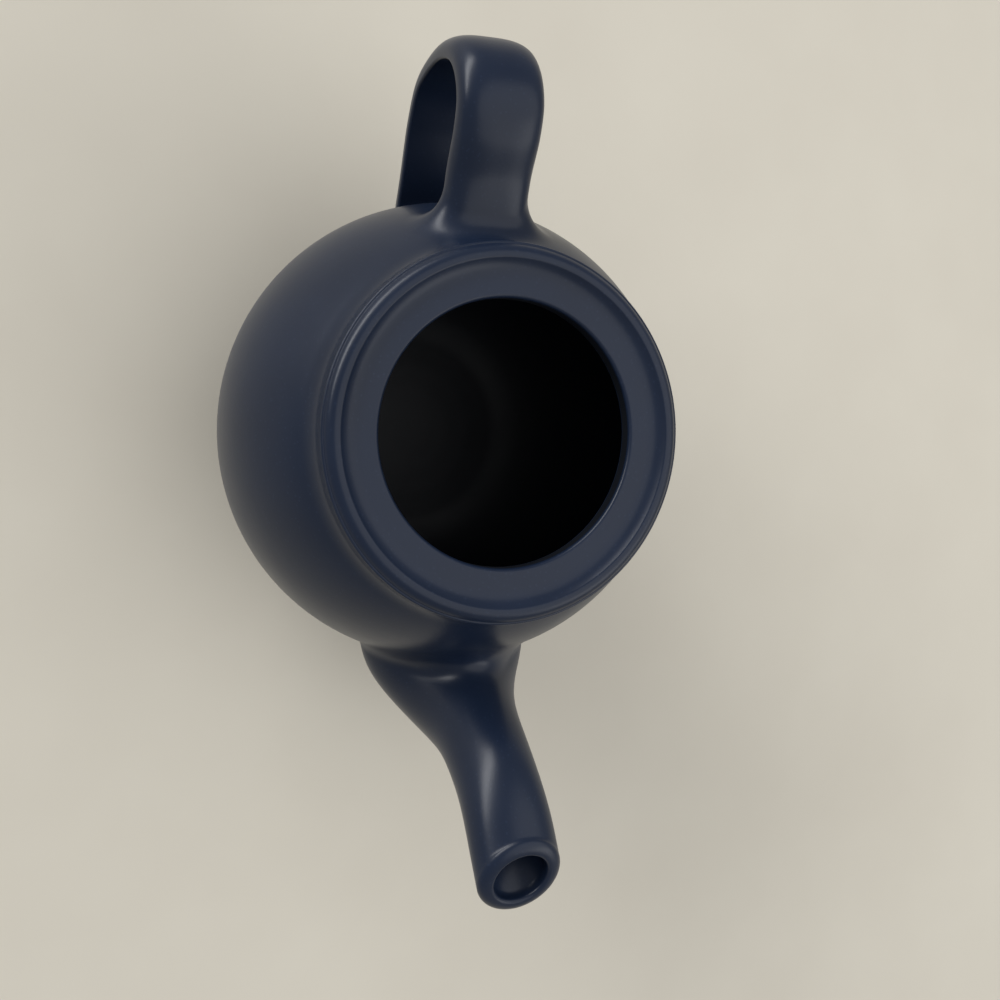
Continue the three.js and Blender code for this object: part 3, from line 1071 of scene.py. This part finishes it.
@dataclass
class Tube:
    """A tube or strap that follows a curve in the pot's middle plane and blends into the body.

    A share runs from 0 at the curve's start to 1 at its end, and an angle goes round the section.
    """

    shape: PotShape
    glaze: bpy.types.Material
    around: int = 128
    # Small steps that give the surface's and the curve's directions
    nudge: float = 0.0005
    lean_nudge: float = 0.0001
    # Search for the share at which a column leaves the body
    halvings: int = 30
    search_span: float = 0.3
    # Depth in the body's wall, and the pull of the blend's two handles
    sink: float = 0.6 * MM
    pull_share: float = 0.64

    def path(self, shares: np.ndarray) -> np.ndarray:
        """The curve's reach and height at each share.

        Args:
            shares: Places along the curve.

        Returns:
            Distance along X from the pot's axis and height, one row a share.
        """
        raise NotImplementedError

    def spot(self, shares: np.ndarray, angles: np.ndarray) -> np.ndarray:
        """The surface's point at each share and angle."""
        raise NotImplementedError

    def lean(self, shares: np.ndarray) -> np.ndarray:
        """Angle from upright of the curve's direction, towards +X.

        Args:
            shares: Places along the curve.

        Returns:
            The angle at each share, in radians.
        """
        low, high = (np.clip(shares + step, 0, 1) for step in (-self.lean_nudge, self.lean_nudge))
        way = self.path(high) - self.path(low)
        return np.arctan2(way[..., 0], way[..., 1])

    def section(
        self,
        shares: np.ndarray,
        plane: np.ndarray,
        deep: np.ndarray,
        across: np.ndarray,
        lift: np.ndarray | float = 0.0,
    ) -> np.ndarray:
        """Spots of leaning sections.

        Args:
            shares: Place of each section along the curve.
            plane: Its lean from upright.
            deep: How far each spot lies towards the curve's upper side.
            across: How far it lies to the side.
            lift: How far it lies along the section's own direction.

        Returns:
            The spots in the frame.
        """
        middle = self.path(shares)
        x = self.shape.axis + middle[..., 0] - deep * np.cos(plane) + lift * np.sin(plane)
        z = middle[..., 1] + deep * np.sin(plane) + lift * np.cos(plane)
        return np.stack([x, across, z], axis=-1)

    def angles(self) -> np.ndarray:
        """Angles of the columns round the tube."""
        return circle_angles(self.around)

    def leaves(
        self,
        spot: Callable[[np.ndarray, np.ndarray], np.ndarray],
        angles: np.ndarray,
        inside: float,
        out: float,
        inset: float = 0.0,
    ) -> np.ndarray:
        """Share at which each column leaves the body.

        Args:
            spot: The surface's function.
            angles: Angles of the columns.
            inside: A share inside the body.
            out: A share outside it.
            inset: How far inside the body's surface it counts.

        Returns:
            The share of each column.
        """
        low, high = np.full_like(angles, inside), np.full_like(angles, out)
        for _ in range(self.halvings):
            middle = (low + high) / 2
            within = self.shape.outside(spot(middle, angles), inset) < 0
            low, high = np.where(within, middle, low), np.where(within, high, middle)
        return (low + high) / 2

    def away(self, angles: np.ndarray, start: np.ndarray, side: int, reach: np.ndarray) -> np.ndarray:
        """Share at which each column is so far from where it was at a start share.

        Args:
            angles: Angles of the columns.
            start: Each column's start share.
            side: 1 towards the curve's end, or -1 towards its start.
            reach: The distance from the start.

        Returns:
            The share of each column.
        """
        origin = self.spot(start, angles)
        low, high = start, start + side * self.search_span
        for _ in range(self.halvings):
            middle = (low + high) / 2
            near = np.linalg.norm(self.spot(middle, angles) - origin, axis=-1) < reach
            low, high = np.where(near, middle, low), np.where(near, high, middle)
        return (low + high) / 2

    def flare(
        self,
        start: np.ndarray,
        side: int,
        reach_at: Callable[[np.ndarray], np.ndarray],
        steps: int,
    ) -> tuple[list[np.ndarray], np.ndarray]:
        """The clay that blends a column's start into the body.

        Args:
            start: Share at which each column leaves the body.
            side: 1 where the tube goes on towards the curve's end, or -1 towards its start.
            reach_at: Gives the blend's reach from its direction along the body.
            steps: Rows of the blend.

        Returns:
            Rows of spots from the body to the tube, and the share at which each column takes over.
        """
        angles = self.angles()
        corner = self.spot(start, angles)
        around = self.spot(start, angles + self.nudge) - self.spot(start, angles - self.nudge)
        along = self.spot(start + self.nudge, angles) - self.spot(start - self.nudge, angles)
        wall = unit(np.cross(around, along))
        across = corner - self.spot(start, angles + math.pi)
        wall *= np.sign(np.einsum("ij,ij->i", wall, across))[:, None]
        ground = self.shape.normal(corner)
        outwards = unit(wall - np.einsum("ij,ij->i", wall, ground)[:, None] * ground)
        reach = reach_at(outwards)
        foot = self.shape.onto(corner + outwards * reach[:, None])
        takes_over = self.away(angles, start, side, reach)
        top = self.spot(takes_over, angles)
        foot_normal = self.shape.normal(foot)
        inwards = corner - foot
        span = np.linalg.norm(inwards, axis=1, keepdims=True)
        inwards = unit(inwards - np.einsum("ij,ij->i", inwards, foot_normal)[:, None] * foot_normal)
        back = unit(self.spot(takes_over - side * self.nudge, angles) - top)
        drop = np.linalg.norm(corner - top, axis=1, keepdims=True)
        first, second = foot + inwards * span * self.pull_share, top + back * drop * self.pull_share
        rows = []
        for i in range(steps):
            s = i / steps
            ends = foot * (1 - s) ** 3 + first * 3 * s * (1 - s) ** 2
            rows.append(ends + second * 3 * s**2 * (1 - s) + top * s**3)
        return rows, takes_over

    def sunk(self, ring: np.ndarray) -> np.ndarray:
        """A ring on the body moved into its wall."""
        return ring - self.shape.normal(ring) * self.sink

    def skin(
        self,
        name: str,
        rows: list[np.ndarray],
        hidden: set[int],
        landings: list[int],
        capped: bool,
    ) -> bpy.types.Object:
        """Skin rows of spots into one closed mesh.

        Args:
            name: The piece's name.
            rows: Rings of spots in order. A capped skin has its middle spots as first and last rows.
            hidden: Numbers of the bands of faces that lie inside the body's wall.
            landings: Numbers of the rows that lie on the body and take its direction.
            capped: True where both ends close on a middle spot, else the last row joins the first.

        Returns:
            The piece.
        """
        count = self.around
        points = np.concatenate(rows)
        bands = len(rows) - 1 if capped else len(rows)
        faces = band_faces(bands, len(rows), count)
        shown = np.repeat([i not in hidden for i in range(bands)], count)
        corners = np.array(faces)
        first, second, third, fourth = (points[corners[:, i]] for i in range(4))
        spread = np.cross(third - first, fourth - second)
        volume = np.einsum("ij,ij->", points[corners].mean(axis=1), spread)
        if volume < 0:
            spread = -spread
        normals = np.zeros_like(points)
        for i in range(4):
            np.add.at(normals, corners[shown][:, i], spread[shown])
        for row in landings:
            span = slice(row * count, (row + 1) * count)
            normals[span] = self.shape.normal(points[span])
        obj = mesh_object(name, points, faces, [self.glaze])
        obj.data.normals_split_custom_set_from_vertices(unit(normals).tolist())
        if capped:
            close_ends(obj)
        return obj


def close_ends(obj: bpy.types.Object) -> None:
    """Merge the rows that lie on one spot.

    Args:
        obj: The piece, whose end rows each lie on one spot.
    """
    tree, given = new_geometry_tree("close_ends", {})
    closed = add_node(
        tree, "GeometryNodeMergeByDistance", {"Distance": FINE}, {"Geometry": given.outputs["Geometry"]}
    )
    add_node(tree, "NodeGroupOutput", links={"Geometry": closed.outputs[0]})
    run_tree(obj, tree, {})
    bpy.data.node_groups.remove(tree)


@dataclass
class Spout(Tube):
    """The curved spout with its channel and its slanted, round-lipped tip."""

    root_inset: float = 25 * MM
    root_drop: float = 14 * MM
    length: float = 45.9 * MM
    tip_drop: float = 2.4 * MM
    root_width: float = 50 * MM
    root_depth: float = 33 * MM
    tip_width: float = 22.6 * MM
    root_wall: float = 5 * MM
    tip_wall: float = 4.1 * MM
    lip_height: float = 2.2 * MM
    lip_edge: float = 1 * MM
    cut_lean: float = math.radians(22.5)
    # Blend into the body
    side_reach: float = 5 * MM
    top_reach: float = 13 * MM
    reach_power: float = 1.5
    # The curve and its sizes, from the root to the tip
    run_shares: tuple[float, ...] = (0, 0.211, 0.372, 0.492, 0.576, 0.653, 0.751, 0.875, 1)
    rise_shares: tuple[float, ...] = (0, 0.04, 0.146, 0.307, 0.506, 0.663, 0.803, 0.917, 1)
    width_shares: tuple[float, ...] = (1, 1, 0.927, 0.474, 0.102, 0, -0.015, 0.007, 0)
    depth_shares: tuple[float, ...] = (0.519, 0.808, 1, 0.615, 0.231, 0.019, -0.019, -0.01, 0)
    # Where the sections begin to turn to the tip's slant, and between which shares the body is left
    turn_share: float = 0.55
    leaves_shares: tuple[float, ...] = (0.0, 0.6)
    rows: int = 72
    lip_rows: int = 9
    flare_rows: int = 14

    def path(self, shares: np.ndarray) -> np.ndarray:
        """The curve's reach and height at each share.

        Args:
            shares: Places along the curve.

        Returns:
            Distance along X from the pot's axis and height, one row a share.
        """
        low, high = self.shape.radius - self.root_inset, self.shape.radius + self.length
        foot, tip = self.shape.equator - self.root_drop, self.shape.rim - self.tip_drop
        run, rise = np.array(self.run_shares), np.array(self.rise_shares)
        points = np.stack([low + (high - low) * run, foot + (tip - foot) * rise], axis=1)
        return steady_spline(points, shares)

    def half(self, table: tuple[float, ...], root: float, shares: np.ndarray) -> np.ndarray:
        """Half a size that runs from the tip's width to one at the root by a table of shares."""
        sizes = (self.tip_width + (root - self.tip_width) * np.array(table)) / 2
        return steady_spline(sizes[:, None], shares)[..., 0]

    def spot(
        self,
        shares: np.ndarray,
        angles: np.ndarray,
        inset: np.ndarray | float = 0.0,
        lift: np.ndarray | float = 0.0,
    ) -> np.ndarray:
        """The surface's point at each share and angle, moved in by an inset and along by a lift.

        Args:
            shares: Places along the curve.
            angles: Angles round the section.
            inset: How far inside the outer surface.
            lift: How far along the section's own direction.

        Returns:
            The points in the frame.
        """
        t = np.clip(shares, 0, 1)
        ease = np.clip((t - self.turn_share) / (1 - self.turn_share), 0, 1)
        turn = ease**2 * (3 - 2 * ease) * (self.cut_lean - float(self.lean(np.array(1.0))))
        deep = (self.half(self.depth_shares, self.root_depth, t) - inset) * np.sin(angles)
        across = (self.half(self.width_shares, self.root_width, t) - inset) * np.cos(angles)
        return self.section(t, self.lean(t) + turn, deep, across, lift)

    def wall_at(self, shares: np.ndarray) -> np.ndarray:
        """Thickness of the spout's wall."""
        return self.root_wall + (self.tip_wall - self.root_wall) * shares

    def blend_reach(self, ways: np.ndarray) -> np.ndarray:
        """Reach of the blend, long in the crook above the spout and short elsewhere."""
        up = np.clip(ways[:, 2], 0, 1) ** self.reach_power
        return self.side_reach + (self.top_reach - self.side_reach) * up

    def lip_line(self) -> list[tuple[float, float]]:
        """Inset and lift of the lip's rows, a wide outer round and a tighter inner one.

        Returns:
            The pair for each row, from the outer surface to the channel.
        """
        wide, tight = self.tip_wall - self.lip_edge, self.lip_edge
        quarter = [math.pi / 2 * i / self.lip_rows for i in range(self.lip_rows)]
        outer = [(wide * (1 - math.cos(a)), self.lip_height * math.sin(a)) for a in quarter[1:]]
        inner = [(wide + tight * math.sin(a), self.lip_height - tight * (1 - math.cos(a))) for a in quarter]
        return [*outer, *inner, (self.tip_wall, self.lip_height - tight)]

    def build(self) -> None:
        """Skin the spout from the body over its lip and back down its channel."""
        angles = self.angles()
        start = self.leaves(self.spot, angles, *self.leaves_shares)
        blend, takes_over = self.flare(start, 1, self.blend_reach, self.flare_rows)
        outer = [
            self.spot(takes_over + (1 - takes_over) * i / self.rows, angles) for i in range(self.rows + 1)
        ]
        ends = np.full_like(angles, 1.0)
        lip = [self.spot(ends, angles, inset, lift) for inset, lift in self.lip_line()]

        def bore(shares: np.ndarray, at: np.ndarray) -> np.ndarray:
            """The channel's surface."""
            return self.spot(shares, at, self.wall_at(shares))

        sunk_share = self.leaves(bore, angles, *self.leaves_shares, inset=self.sink)
        inner = [bore(1 + (sunk_share - 1) * i / self.rows, angles) for i in range(self.rows + 1)]
        rows = [self.sunk(blend[0]), *blend, *outer, *lip, *inner]
        obj = self.skin("spout", rows, {0, len(rows) - 1}, [1], False)
        publish(obj, Slot.GLAZE, "spout_tube", "spout_fillet")


@dataclass
class Handle(Tube):
    """The broad strap handle with the flares of its two roots."""

    root_inset: float = 21 * MM
    length: float = 33.8 * MM
    rise: float = 9 * MM
    root_drop: float = 21 * MM
    width: float = 22.8 * MM
    depth: float = 6.5 * MM
    edge: float = 0.8 * MM
    top_reach: float = 10 * MM
    collar_reach: float = 3 * MM
    low_reach: float = 5 * MM
    # The curve from the upper root to the lower one
    reach_shares: tuple[float, ...] = (
        *(0, 0.182, 0.383, 0.556, 0.692, 0.829, 0.938),
        *(1, 0.996, 0.945, 0.801, 0.537, 0.146),
    )
    rise_shares: tuple[float, ...] = (
        *(0.765, 0.799, 0.865, 0.96, 1, 0.982, 0.912),
        *(0.779, 0.61, 0.474, 0.356, 0.221, 0),
    )
    # How full the section's sides and crown are, and how closely its columns crowd at the edges
    side_share: float = 0.62
    crown_share: float = 0.75
    turn_weight: float = 0.6
    crown_steps: int = 700
    edge_steps: int = 60
    leaves_shares: tuple[float, ...] = (0.0, 0.3)
    returns_shares: tuple[float, ...] = (1.0, 0.72)
    rows: int = 150
    flare_rows: int = 16
    line: np.ndarray = field(init=False)
    line_angles: np.ndarray = field(init=False)

    def __post_init__(self) -> None:
        """Draw the strap's section, flat towards the fingers and crowned on its outer side."""
        turn = np.linspace(0, math.pi, self.crown_steps)
        half, low = self.width / 2, -self.depth / 2
        crown = np.stack(
            [
                half * np.sign(np.cos(turn)) * np.abs(np.cos(turn)) ** self.side_share,
                low + self.edge + (self.depth - self.edge) * np.sin(turn).clip(0) ** self.crown_share,
            ],
            axis=1,
        )
        flat = rounded(
            [
                (-half, low + 2 * self.edge, 0.0),
                (-half, low, self.edge),
                (half, low, self.edge),
                (half, low + 2 * self.edge, 0.0),
            ],
            self.edge_steps,
        )[1:-1]
        line = np.concatenate([crown, flat[1:]])
        steps = np.diff(line, axis=0)
        sizes = np.linalg.norm(steps, axis=1)
        headings = np.unwrap(np.arctan2(steps[:, 1], steps[:, 0]))
        turns = np.abs(np.diff(headings, prepend=headings[:1]))
        weight = sizes / sizes.sum() + self.turn_weight * turns / TURN
        self.line = line
        self.line_angles = np.concatenate([[0], np.cumsum(weight)]) / weight.sum() * TURN

    def path(self, shares: np.ndarray) -> np.ndarray:
        """The curve's reach and height at each share.

        Args:
            shares: Places along the curve.

        Returns:
            Distance along X from the pot's axis and height, one row a share.
        """
        near, far = self.root_inset - self.shape.radius, -self.shape.radius - self.length
        low, high = self.shape.equator - self.root_drop, self.shape.shoulder + self.rise
        out, up = np.array(self.reach_shares), np.array(self.rise_shares)
        points = np.stack([near + (far - near) * out, low + (high - low) * up], axis=1)
        return spline(points, shares)

    def spot(self, shares: np.ndarray, angles: np.ndarray) -> np.ndarray:
        """The strap's surface at each share and angle.

        Args:
            shares: Places along the curve.
            angles: Angles round the section.

        Returns:
            The points in the frame.
        """
        t = np.clip(shares, 0, 1)
        turn = np.mod(angles, TURN)
        across, out = (np.interp(turn, self.line_angles, self.line[:, i]) for i in range(2))
        return self.section(t, self.lean(t), -out, across)

    def top_blend(self, ways: np.ndarray) -> np.ndarray:
        """Reach of the top flare, short towards the collar that stands close above it."""
        up = np.clip(ways[:, 2], 0, 1)
        return self.top_reach + (self.collar_reach - self.top_reach) * up

    def build(self) -> None:
        """Skin the strap from one root to the other."""
        angles = self.angles()
        top = self.leaves(self.spot, angles, *self.leaves_shares)
        low = self.leaves(self.spot, angles, *self.returns_shares)
        top_rows, from_share = self.flare(top, 1, self.top_blend, self.flare_rows)
        low_rows, to_share = self.flare(
            low, -1, lambda ways: np.full(len(ways), self.low_reach), self.flare_rows
        )
        strap = [
            self.spot(from_share + (to_share - from_share) * i / self.rows, angles)
            for i in range(self.rows + 1)
        ]
        sunk = [self.sunk(top_rows[0]), self.sunk(low_rows[0])]
        middles = [
            np.repeat(self.shape.onto(ring.mean(axis=0), 3 * self.sink)[None], self.around, axis=0)
            for ring in sunk
        ]
        rows = [middles[0], sunk[0], *top_rows, *strap, *low_rows[::-1], sunk[1], middles[1]]
        last = len(rows) - 1
        hidden = {0, 1, last - 2, last - 1}
        obj = self.skin("handle", rows, hidden, [2, last - 2], True)
        publish(obj, Slot.GLAZE, "handle_strap", "handle_fillet_top", "handle_fillet_low")


@dataclass
class Strainer:
    """The pierced wall between the pot and the spout."""

    shape: PotShape
    glaze: bpy.types.Material
    height: float
    radius: float = 11 * MM
    gap: float = 0.05 * MM
    wall: float = 3 * MM
    hole: float = 1.5 * MM
    hole_facets: int = 24
    punch_depth: float = 12 * MM
    pitch: float = 4.2 * MM
    hole_rings: int = 2
    ring_holes: int = 6
    around: int = 96
    rows: int = 24
    # Ends of the rod, in radii of the pot
    rod_ends: tuple[float, float] = (0.5, 1.2)
    sharp_angle: float = math.radians(40)

    @classmethod
    def from_frame(cls, shape: PotShape, glaze: bpy.types.Material) -> "Strainer":
        """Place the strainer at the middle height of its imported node."""
        low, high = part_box("strainer_plate")
        return cls(shape, glaze, (low.z + high.z) / 2)

    def rod(self) -> bpy.types.Object:
        """A round rod along X that clears the strainer's place in the wall.

        Returns:
            The rod, for the body to be pierced with.
        """
        angles = circle_angles(self.around)
        ends = [self.shape.axis + self.shape.radius * share for share in self.rod_ends]
        points = [
            [x, self.radius * math.cos(a), self.height + self.radius * math.sin(a)]
            for x in ends
            for a in angles
        ]
        n = self.around
        faces = [*band_faces(1, 2, n), tuple(range(n))[::-1], tuple(range(n, 2 * n))]
        return mesh_object("strainer_rod", np.array(points), faces, [])

    def skin_at(self, y: np.ndarray, z: np.ndarray, inset: float) -> np.ndarray:
        """Spots of the wall at offsets from the middle plane, on its surface moved in by an inset.

        Args:
            y: How far each spot lies to the side.
            z: Its height.
            inset: How far inside the outer surface.

        Returns:
            The spots in the frame.
        """
        rise = self.shape.rise(z) - inset
        flat = (self.shape.radius - inset) ** 2 * (1 - ((z - self.shape.equator) / rise) ** 2)
        return np.stack([self.shape.axis + np.sqrt(flat - y**2), y, z], axis=-1)

    def build(self) -> None:
        """Make the plate, pierce it and seat it in the wall."""
        angles = circle_angles(self.around)
        size = self.radius - self.gap
        sweep = [size * i / self.rows for i in range(self.rows + 1)]
        sheets = []
        for inset, radii in ((self.shape.wall, sweep), (self.shape.wall - self.wall, sweep[::-1])):
            for radius in radii:
                y = radius * np.cos(angles)
                z = self.height + radius * np.sin(angles)
                sheets.append(self.skin_at(y, z, inset))
        faces = band_faces(len(sheets) - 1, len(sheets), self.around)
        obj = mesh_object("strainer", np.concatenate(sheets), faces, [])
        close_ends(obj)
        middle = self.shape.axis + self.shape.radius_at(self.height, self.shape.wall - self.wall / 2)
        inputs = {
            "Hole": self.hole,
            "Pitch": self.pitch,
            "Middle": (middle, 0.0, self.height),
            "Finish": self.glaze,
        }
        run_tree(obj, self.holes_tree(), inputs)
        face_out(obj.data)
        obj.data.set_sharp_from_angle(angle=self.sharp_angle)
        publish(obj, Slot.INSIDE_GLAZE, "strainer_plate")

    def holes_tree(self) -> bpy.types.NodeTree:
        """Build the tree that pierces a plate with one hole and rings of six, twelve and so on round it.

        Returns:
            A tree with the inputs Hole, Pitch, Middle and Finish.
        """
        tree, given = new_geometry_tree(
            "strainer_holes",
            {
                "Hole": "NodeSocketFloat",
                "Pitch": "NodeSocketFloat",
                "Middle": "NodeSocketVector",
                "Finish": "NodeSocketMaterial",
            },
        )
        centre = add_node(tree, "GeometryNodePoints", {"Count": 1})
        rings = [centre.outputs[0]]
        for ring in range(1, self.hole_rings + 1):
            size = add_node(
                tree, "ShaderNodeMath", {1: float(ring)}, {0: given.outputs["Pitch"]}, operation="MULTIPLY"
            )
            circle = add_node(
                tree,
                "GeometryNodeMeshCircle",
                {"Vertices": self.ring_holes * ring},
                {"Radius": size.outputs[0]},
            )
            rings.append(circle.outputs[0])
        spots = add_node(tree, "GeometryNodeJoinGeometry")
        for ring in rings:
            tree.links.new(ring, spots.inputs[0])
        punch = add_node(
            tree,
            "GeometryNodeMeshCylinder",
            {"Vertices": self.hole_facets, "Depth": self.punch_depth},
            {"Radius": given.outputs["Hole"]},
        )
        punches = add_node(
            tree,
            "GeometryNodeInstanceOnPoints",
            links={"Points": spots.outputs[0], "Instance": punch.outputs["Mesh"]},
        )
        turned = add_node(
            tree,
            "GeometryNodeTransform",
            {"Rotation": (0.0, math.pi / 2, 0.0)},
            {"Geometry": punches.outputs[0], "Translation": given.outputs["Middle"]},
        )
        solid = add_node(tree, "GeometryNodeRealizeInstances", links={"Geometry": turned.outputs[0]})
        cut = add_node(
            tree,
            "GeometryNodeMeshBoolean",
            links={"Mesh 1": given.outputs["Geometry"], "Mesh 2": solid.outputs[0]},
            operation="DIFFERENCE",
            solver="EXACT",
        )
        real = add_node(tree, "GeometryNodeRealizeInstances", links={"Geometry": cut.outputs[0]})
        dressed = add_node(
            tree,
            "GeometryNodeSetMaterial",
            links={"Geometry": real.outputs[0], "Material": given.outputs["Finish"]},
        )
        add_node(tree, "NodeGroupOutput", links={"Geometry": dressed.outputs[0]})
        return tree


# The studio


@dataclass(frozen=True)
class PaleFloor:
    """Matt painted board under the pot, brushed on, so that it is pale, dull and slightly mottled."""

    name: str = "painted_board"
    light: str = "#cfcabd"
    dark: str = "#c6c0b3"
    mottle_size: float = 60 * MM
    mottle_detail: float = 4.0
    roughness: float = 0.85

    def material(self) -> bpy.types.Material:
        """Build the floor's material.

        Returns:
            The material, whose mottle reads Object coordinates.
        """
        material, tree = new_material(self.name)
        place = add_node(tree, "ShaderNodeTexCoord").outputs["Object"]
        mottle = add_node(
            tree,
            "ShaderNodeTexNoise",
            {"Scale": 1 / self.mottle_size, "Detail": self.mottle_detail},
            {"Vector": place},
        )
        colour = add_node(
            tree,
            "ShaderNodeMix",
            {"A": linear(self.dark), "B": linear(self.light)},
            {"Factor": mottle.outputs["Fac"]},
            data_type="RGBA",
        )
        shader = add_node(
            tree,
            "ShaderNodeBsdfPrincipled",
            {"Roughness": self.roughness},
            {"Base Color": colour.outputs["Result"]},
        )
        add_node(tree, "ShaderNodeOutputMaterial", links={"Surface": shader.outputs["BSDF"]})
        return material


@dataclass(frozen=True)
class Lamp:
    """A soft oblong lamp that shines at the pot's middle. Its sizes are metres and its power watts."""

    name: str
    direction: tuple[float, float, float]
    distance: float
    width: float
    height: float
    power: float

    def build(self, target: Vector) -> None:
        """Hang the lamp and turn it to its target.

        Args:
            target: The spot that it shines at.
        """
        data = bpy.data.lights.new(self.name, "AREA")
        data.shape = "ELLIPSE"
        data.size, data.size_y = self.width, self.height
        data.energy = self.power
        obj = new_object(self.name, data)
        obj.location = target + Vector(self.direction).normalized() * self.distance
        obj.rotation_euler = (target - obj.location).to_track_quat("-Z", "Y").to_euler()


@dataclass
class Studio:
    """Floor, soft light and the photograph's camera, which was fitted to the pot's outlines.

    The camera's place is given beside the pot's axis, in metres, and its turn in degrees.
    """

    floor: PaleFloor = PaleFloor()
    lamps: tuple[Lamp, ...] = (
        Lamp("window", (-0.71, -0.6, 0.38), 2.2, 2.6, 0.56, 44.0),
        Lamp("softbox", (0.1, 0.45, 0.89), 0.95, 1.5, 1.5, 5.8),
        Lamp("doorway", (0.55, 0.65, 0.53), 2.0, 1.3, 1.0, 4.5),
    )
    sky: str = "#ffffff"
    sky_strength: float = 0.36
    floor_size: float = 4.0
    camera_place: tuple[float, float, float] = (-0.00706, -0.09668, 0.3282)
    camera_turn: tuple[float, float, float] = (-1.5215, -22.2228, 88.8317)
    lens: float = 36.0
    shift: tuple[float, float] = (0.0019, -0.0603)
    near_clip: float = 10 * MM

    def build(self, target: Vector) -> None:
        """Set up the whole studio round a target.

        Args:
            target: The pot's middle.
        """
        self.lay_floor()
        for lamp in self.lamps:
            lamp.build(target)
        self.spread_sky()
        self.set_camera(target)
        LOG.info("studio with %d lamps", len(self.lamps))

    def lay_floor(self) -> None:
        """Lay the floor under the pot."""
        half = self.floor_size / 2
        points = [(-half, -half, 0), (half, -half, 0), (half, half, 0), (-half, half, 0)]
        mesh = bpy.data.meshes.new("studio_floor")
        mesh.from_pydata(points, [], [(0, 1, 2, 3)])
        mesh.materials.append(self.floor.material())
        new_object("studio_floor", mesh)

    def spread_sky(self) -> None:
        """Light the pot evenly from all round."""
        world = bpy.data.worlds.new("studio_sky")
        bpy.context.scene.world = world
        world.use_nodes = True
        tree = world.node_tree
        tree.nodes.clear()
        shine = {"Color": linear(self.sky), "Strength": self.sky_strength}
        sky = add_node(tree, "ShaderNodeBackground", shine)
        add_node(tree, "ShaderNodeOutputWorld", links={"Surface": sky.outputs[0]})

    def set_camera(self, target: Vector) -> None:
        """Set up the camera as the photograph's was.

        Args:
            target: The pot's middle.
        """
        data = bpy.data.cameras.new("photo_camera")
        data.lens = self.lens
        data.shift_x, data.shift_y = self.shift
        data.clip_start = self.near_clip
        camera = new_object("photo_camera", data)
        camera.location = Vector(self.camera_place) + Vector((target.x, 0.0, 0.0))
        camera.rotation_euler = Euler([math.radians(a) for a in self.camera_turn])
        bpy.context.scene.camera = camera
        bpy.context.scene.view_settings.view_transform = "Standard"


def main() -> None:
    """Build the pot's pieces in order, then the studio."""
    logging.basicConfig(level=logging.INFO, format="%(name)s: %(message)s")
    glaze = SatinGlaze()
    outside = glaze.material()
    # The inside glaze's darker colour is painted shade of the hollow; the strainer takes it too
    inside = PaintedShadeInsideGlaze().material()
    shape = PotShape.from_frame()
    strainer = Strainer.from_frame(shape, inside)
    ThrownPot(shape, outside, inside, FiredClay(glaze).material()).build(strainer.rod)
    strainer.build()
    Spout(shape, outside).build()
    Handle(shape, outside).build()
    Studio().build(Vector((shape.axis, 0.0, shape.equator)))


if __name__ == "__main__":
    main()
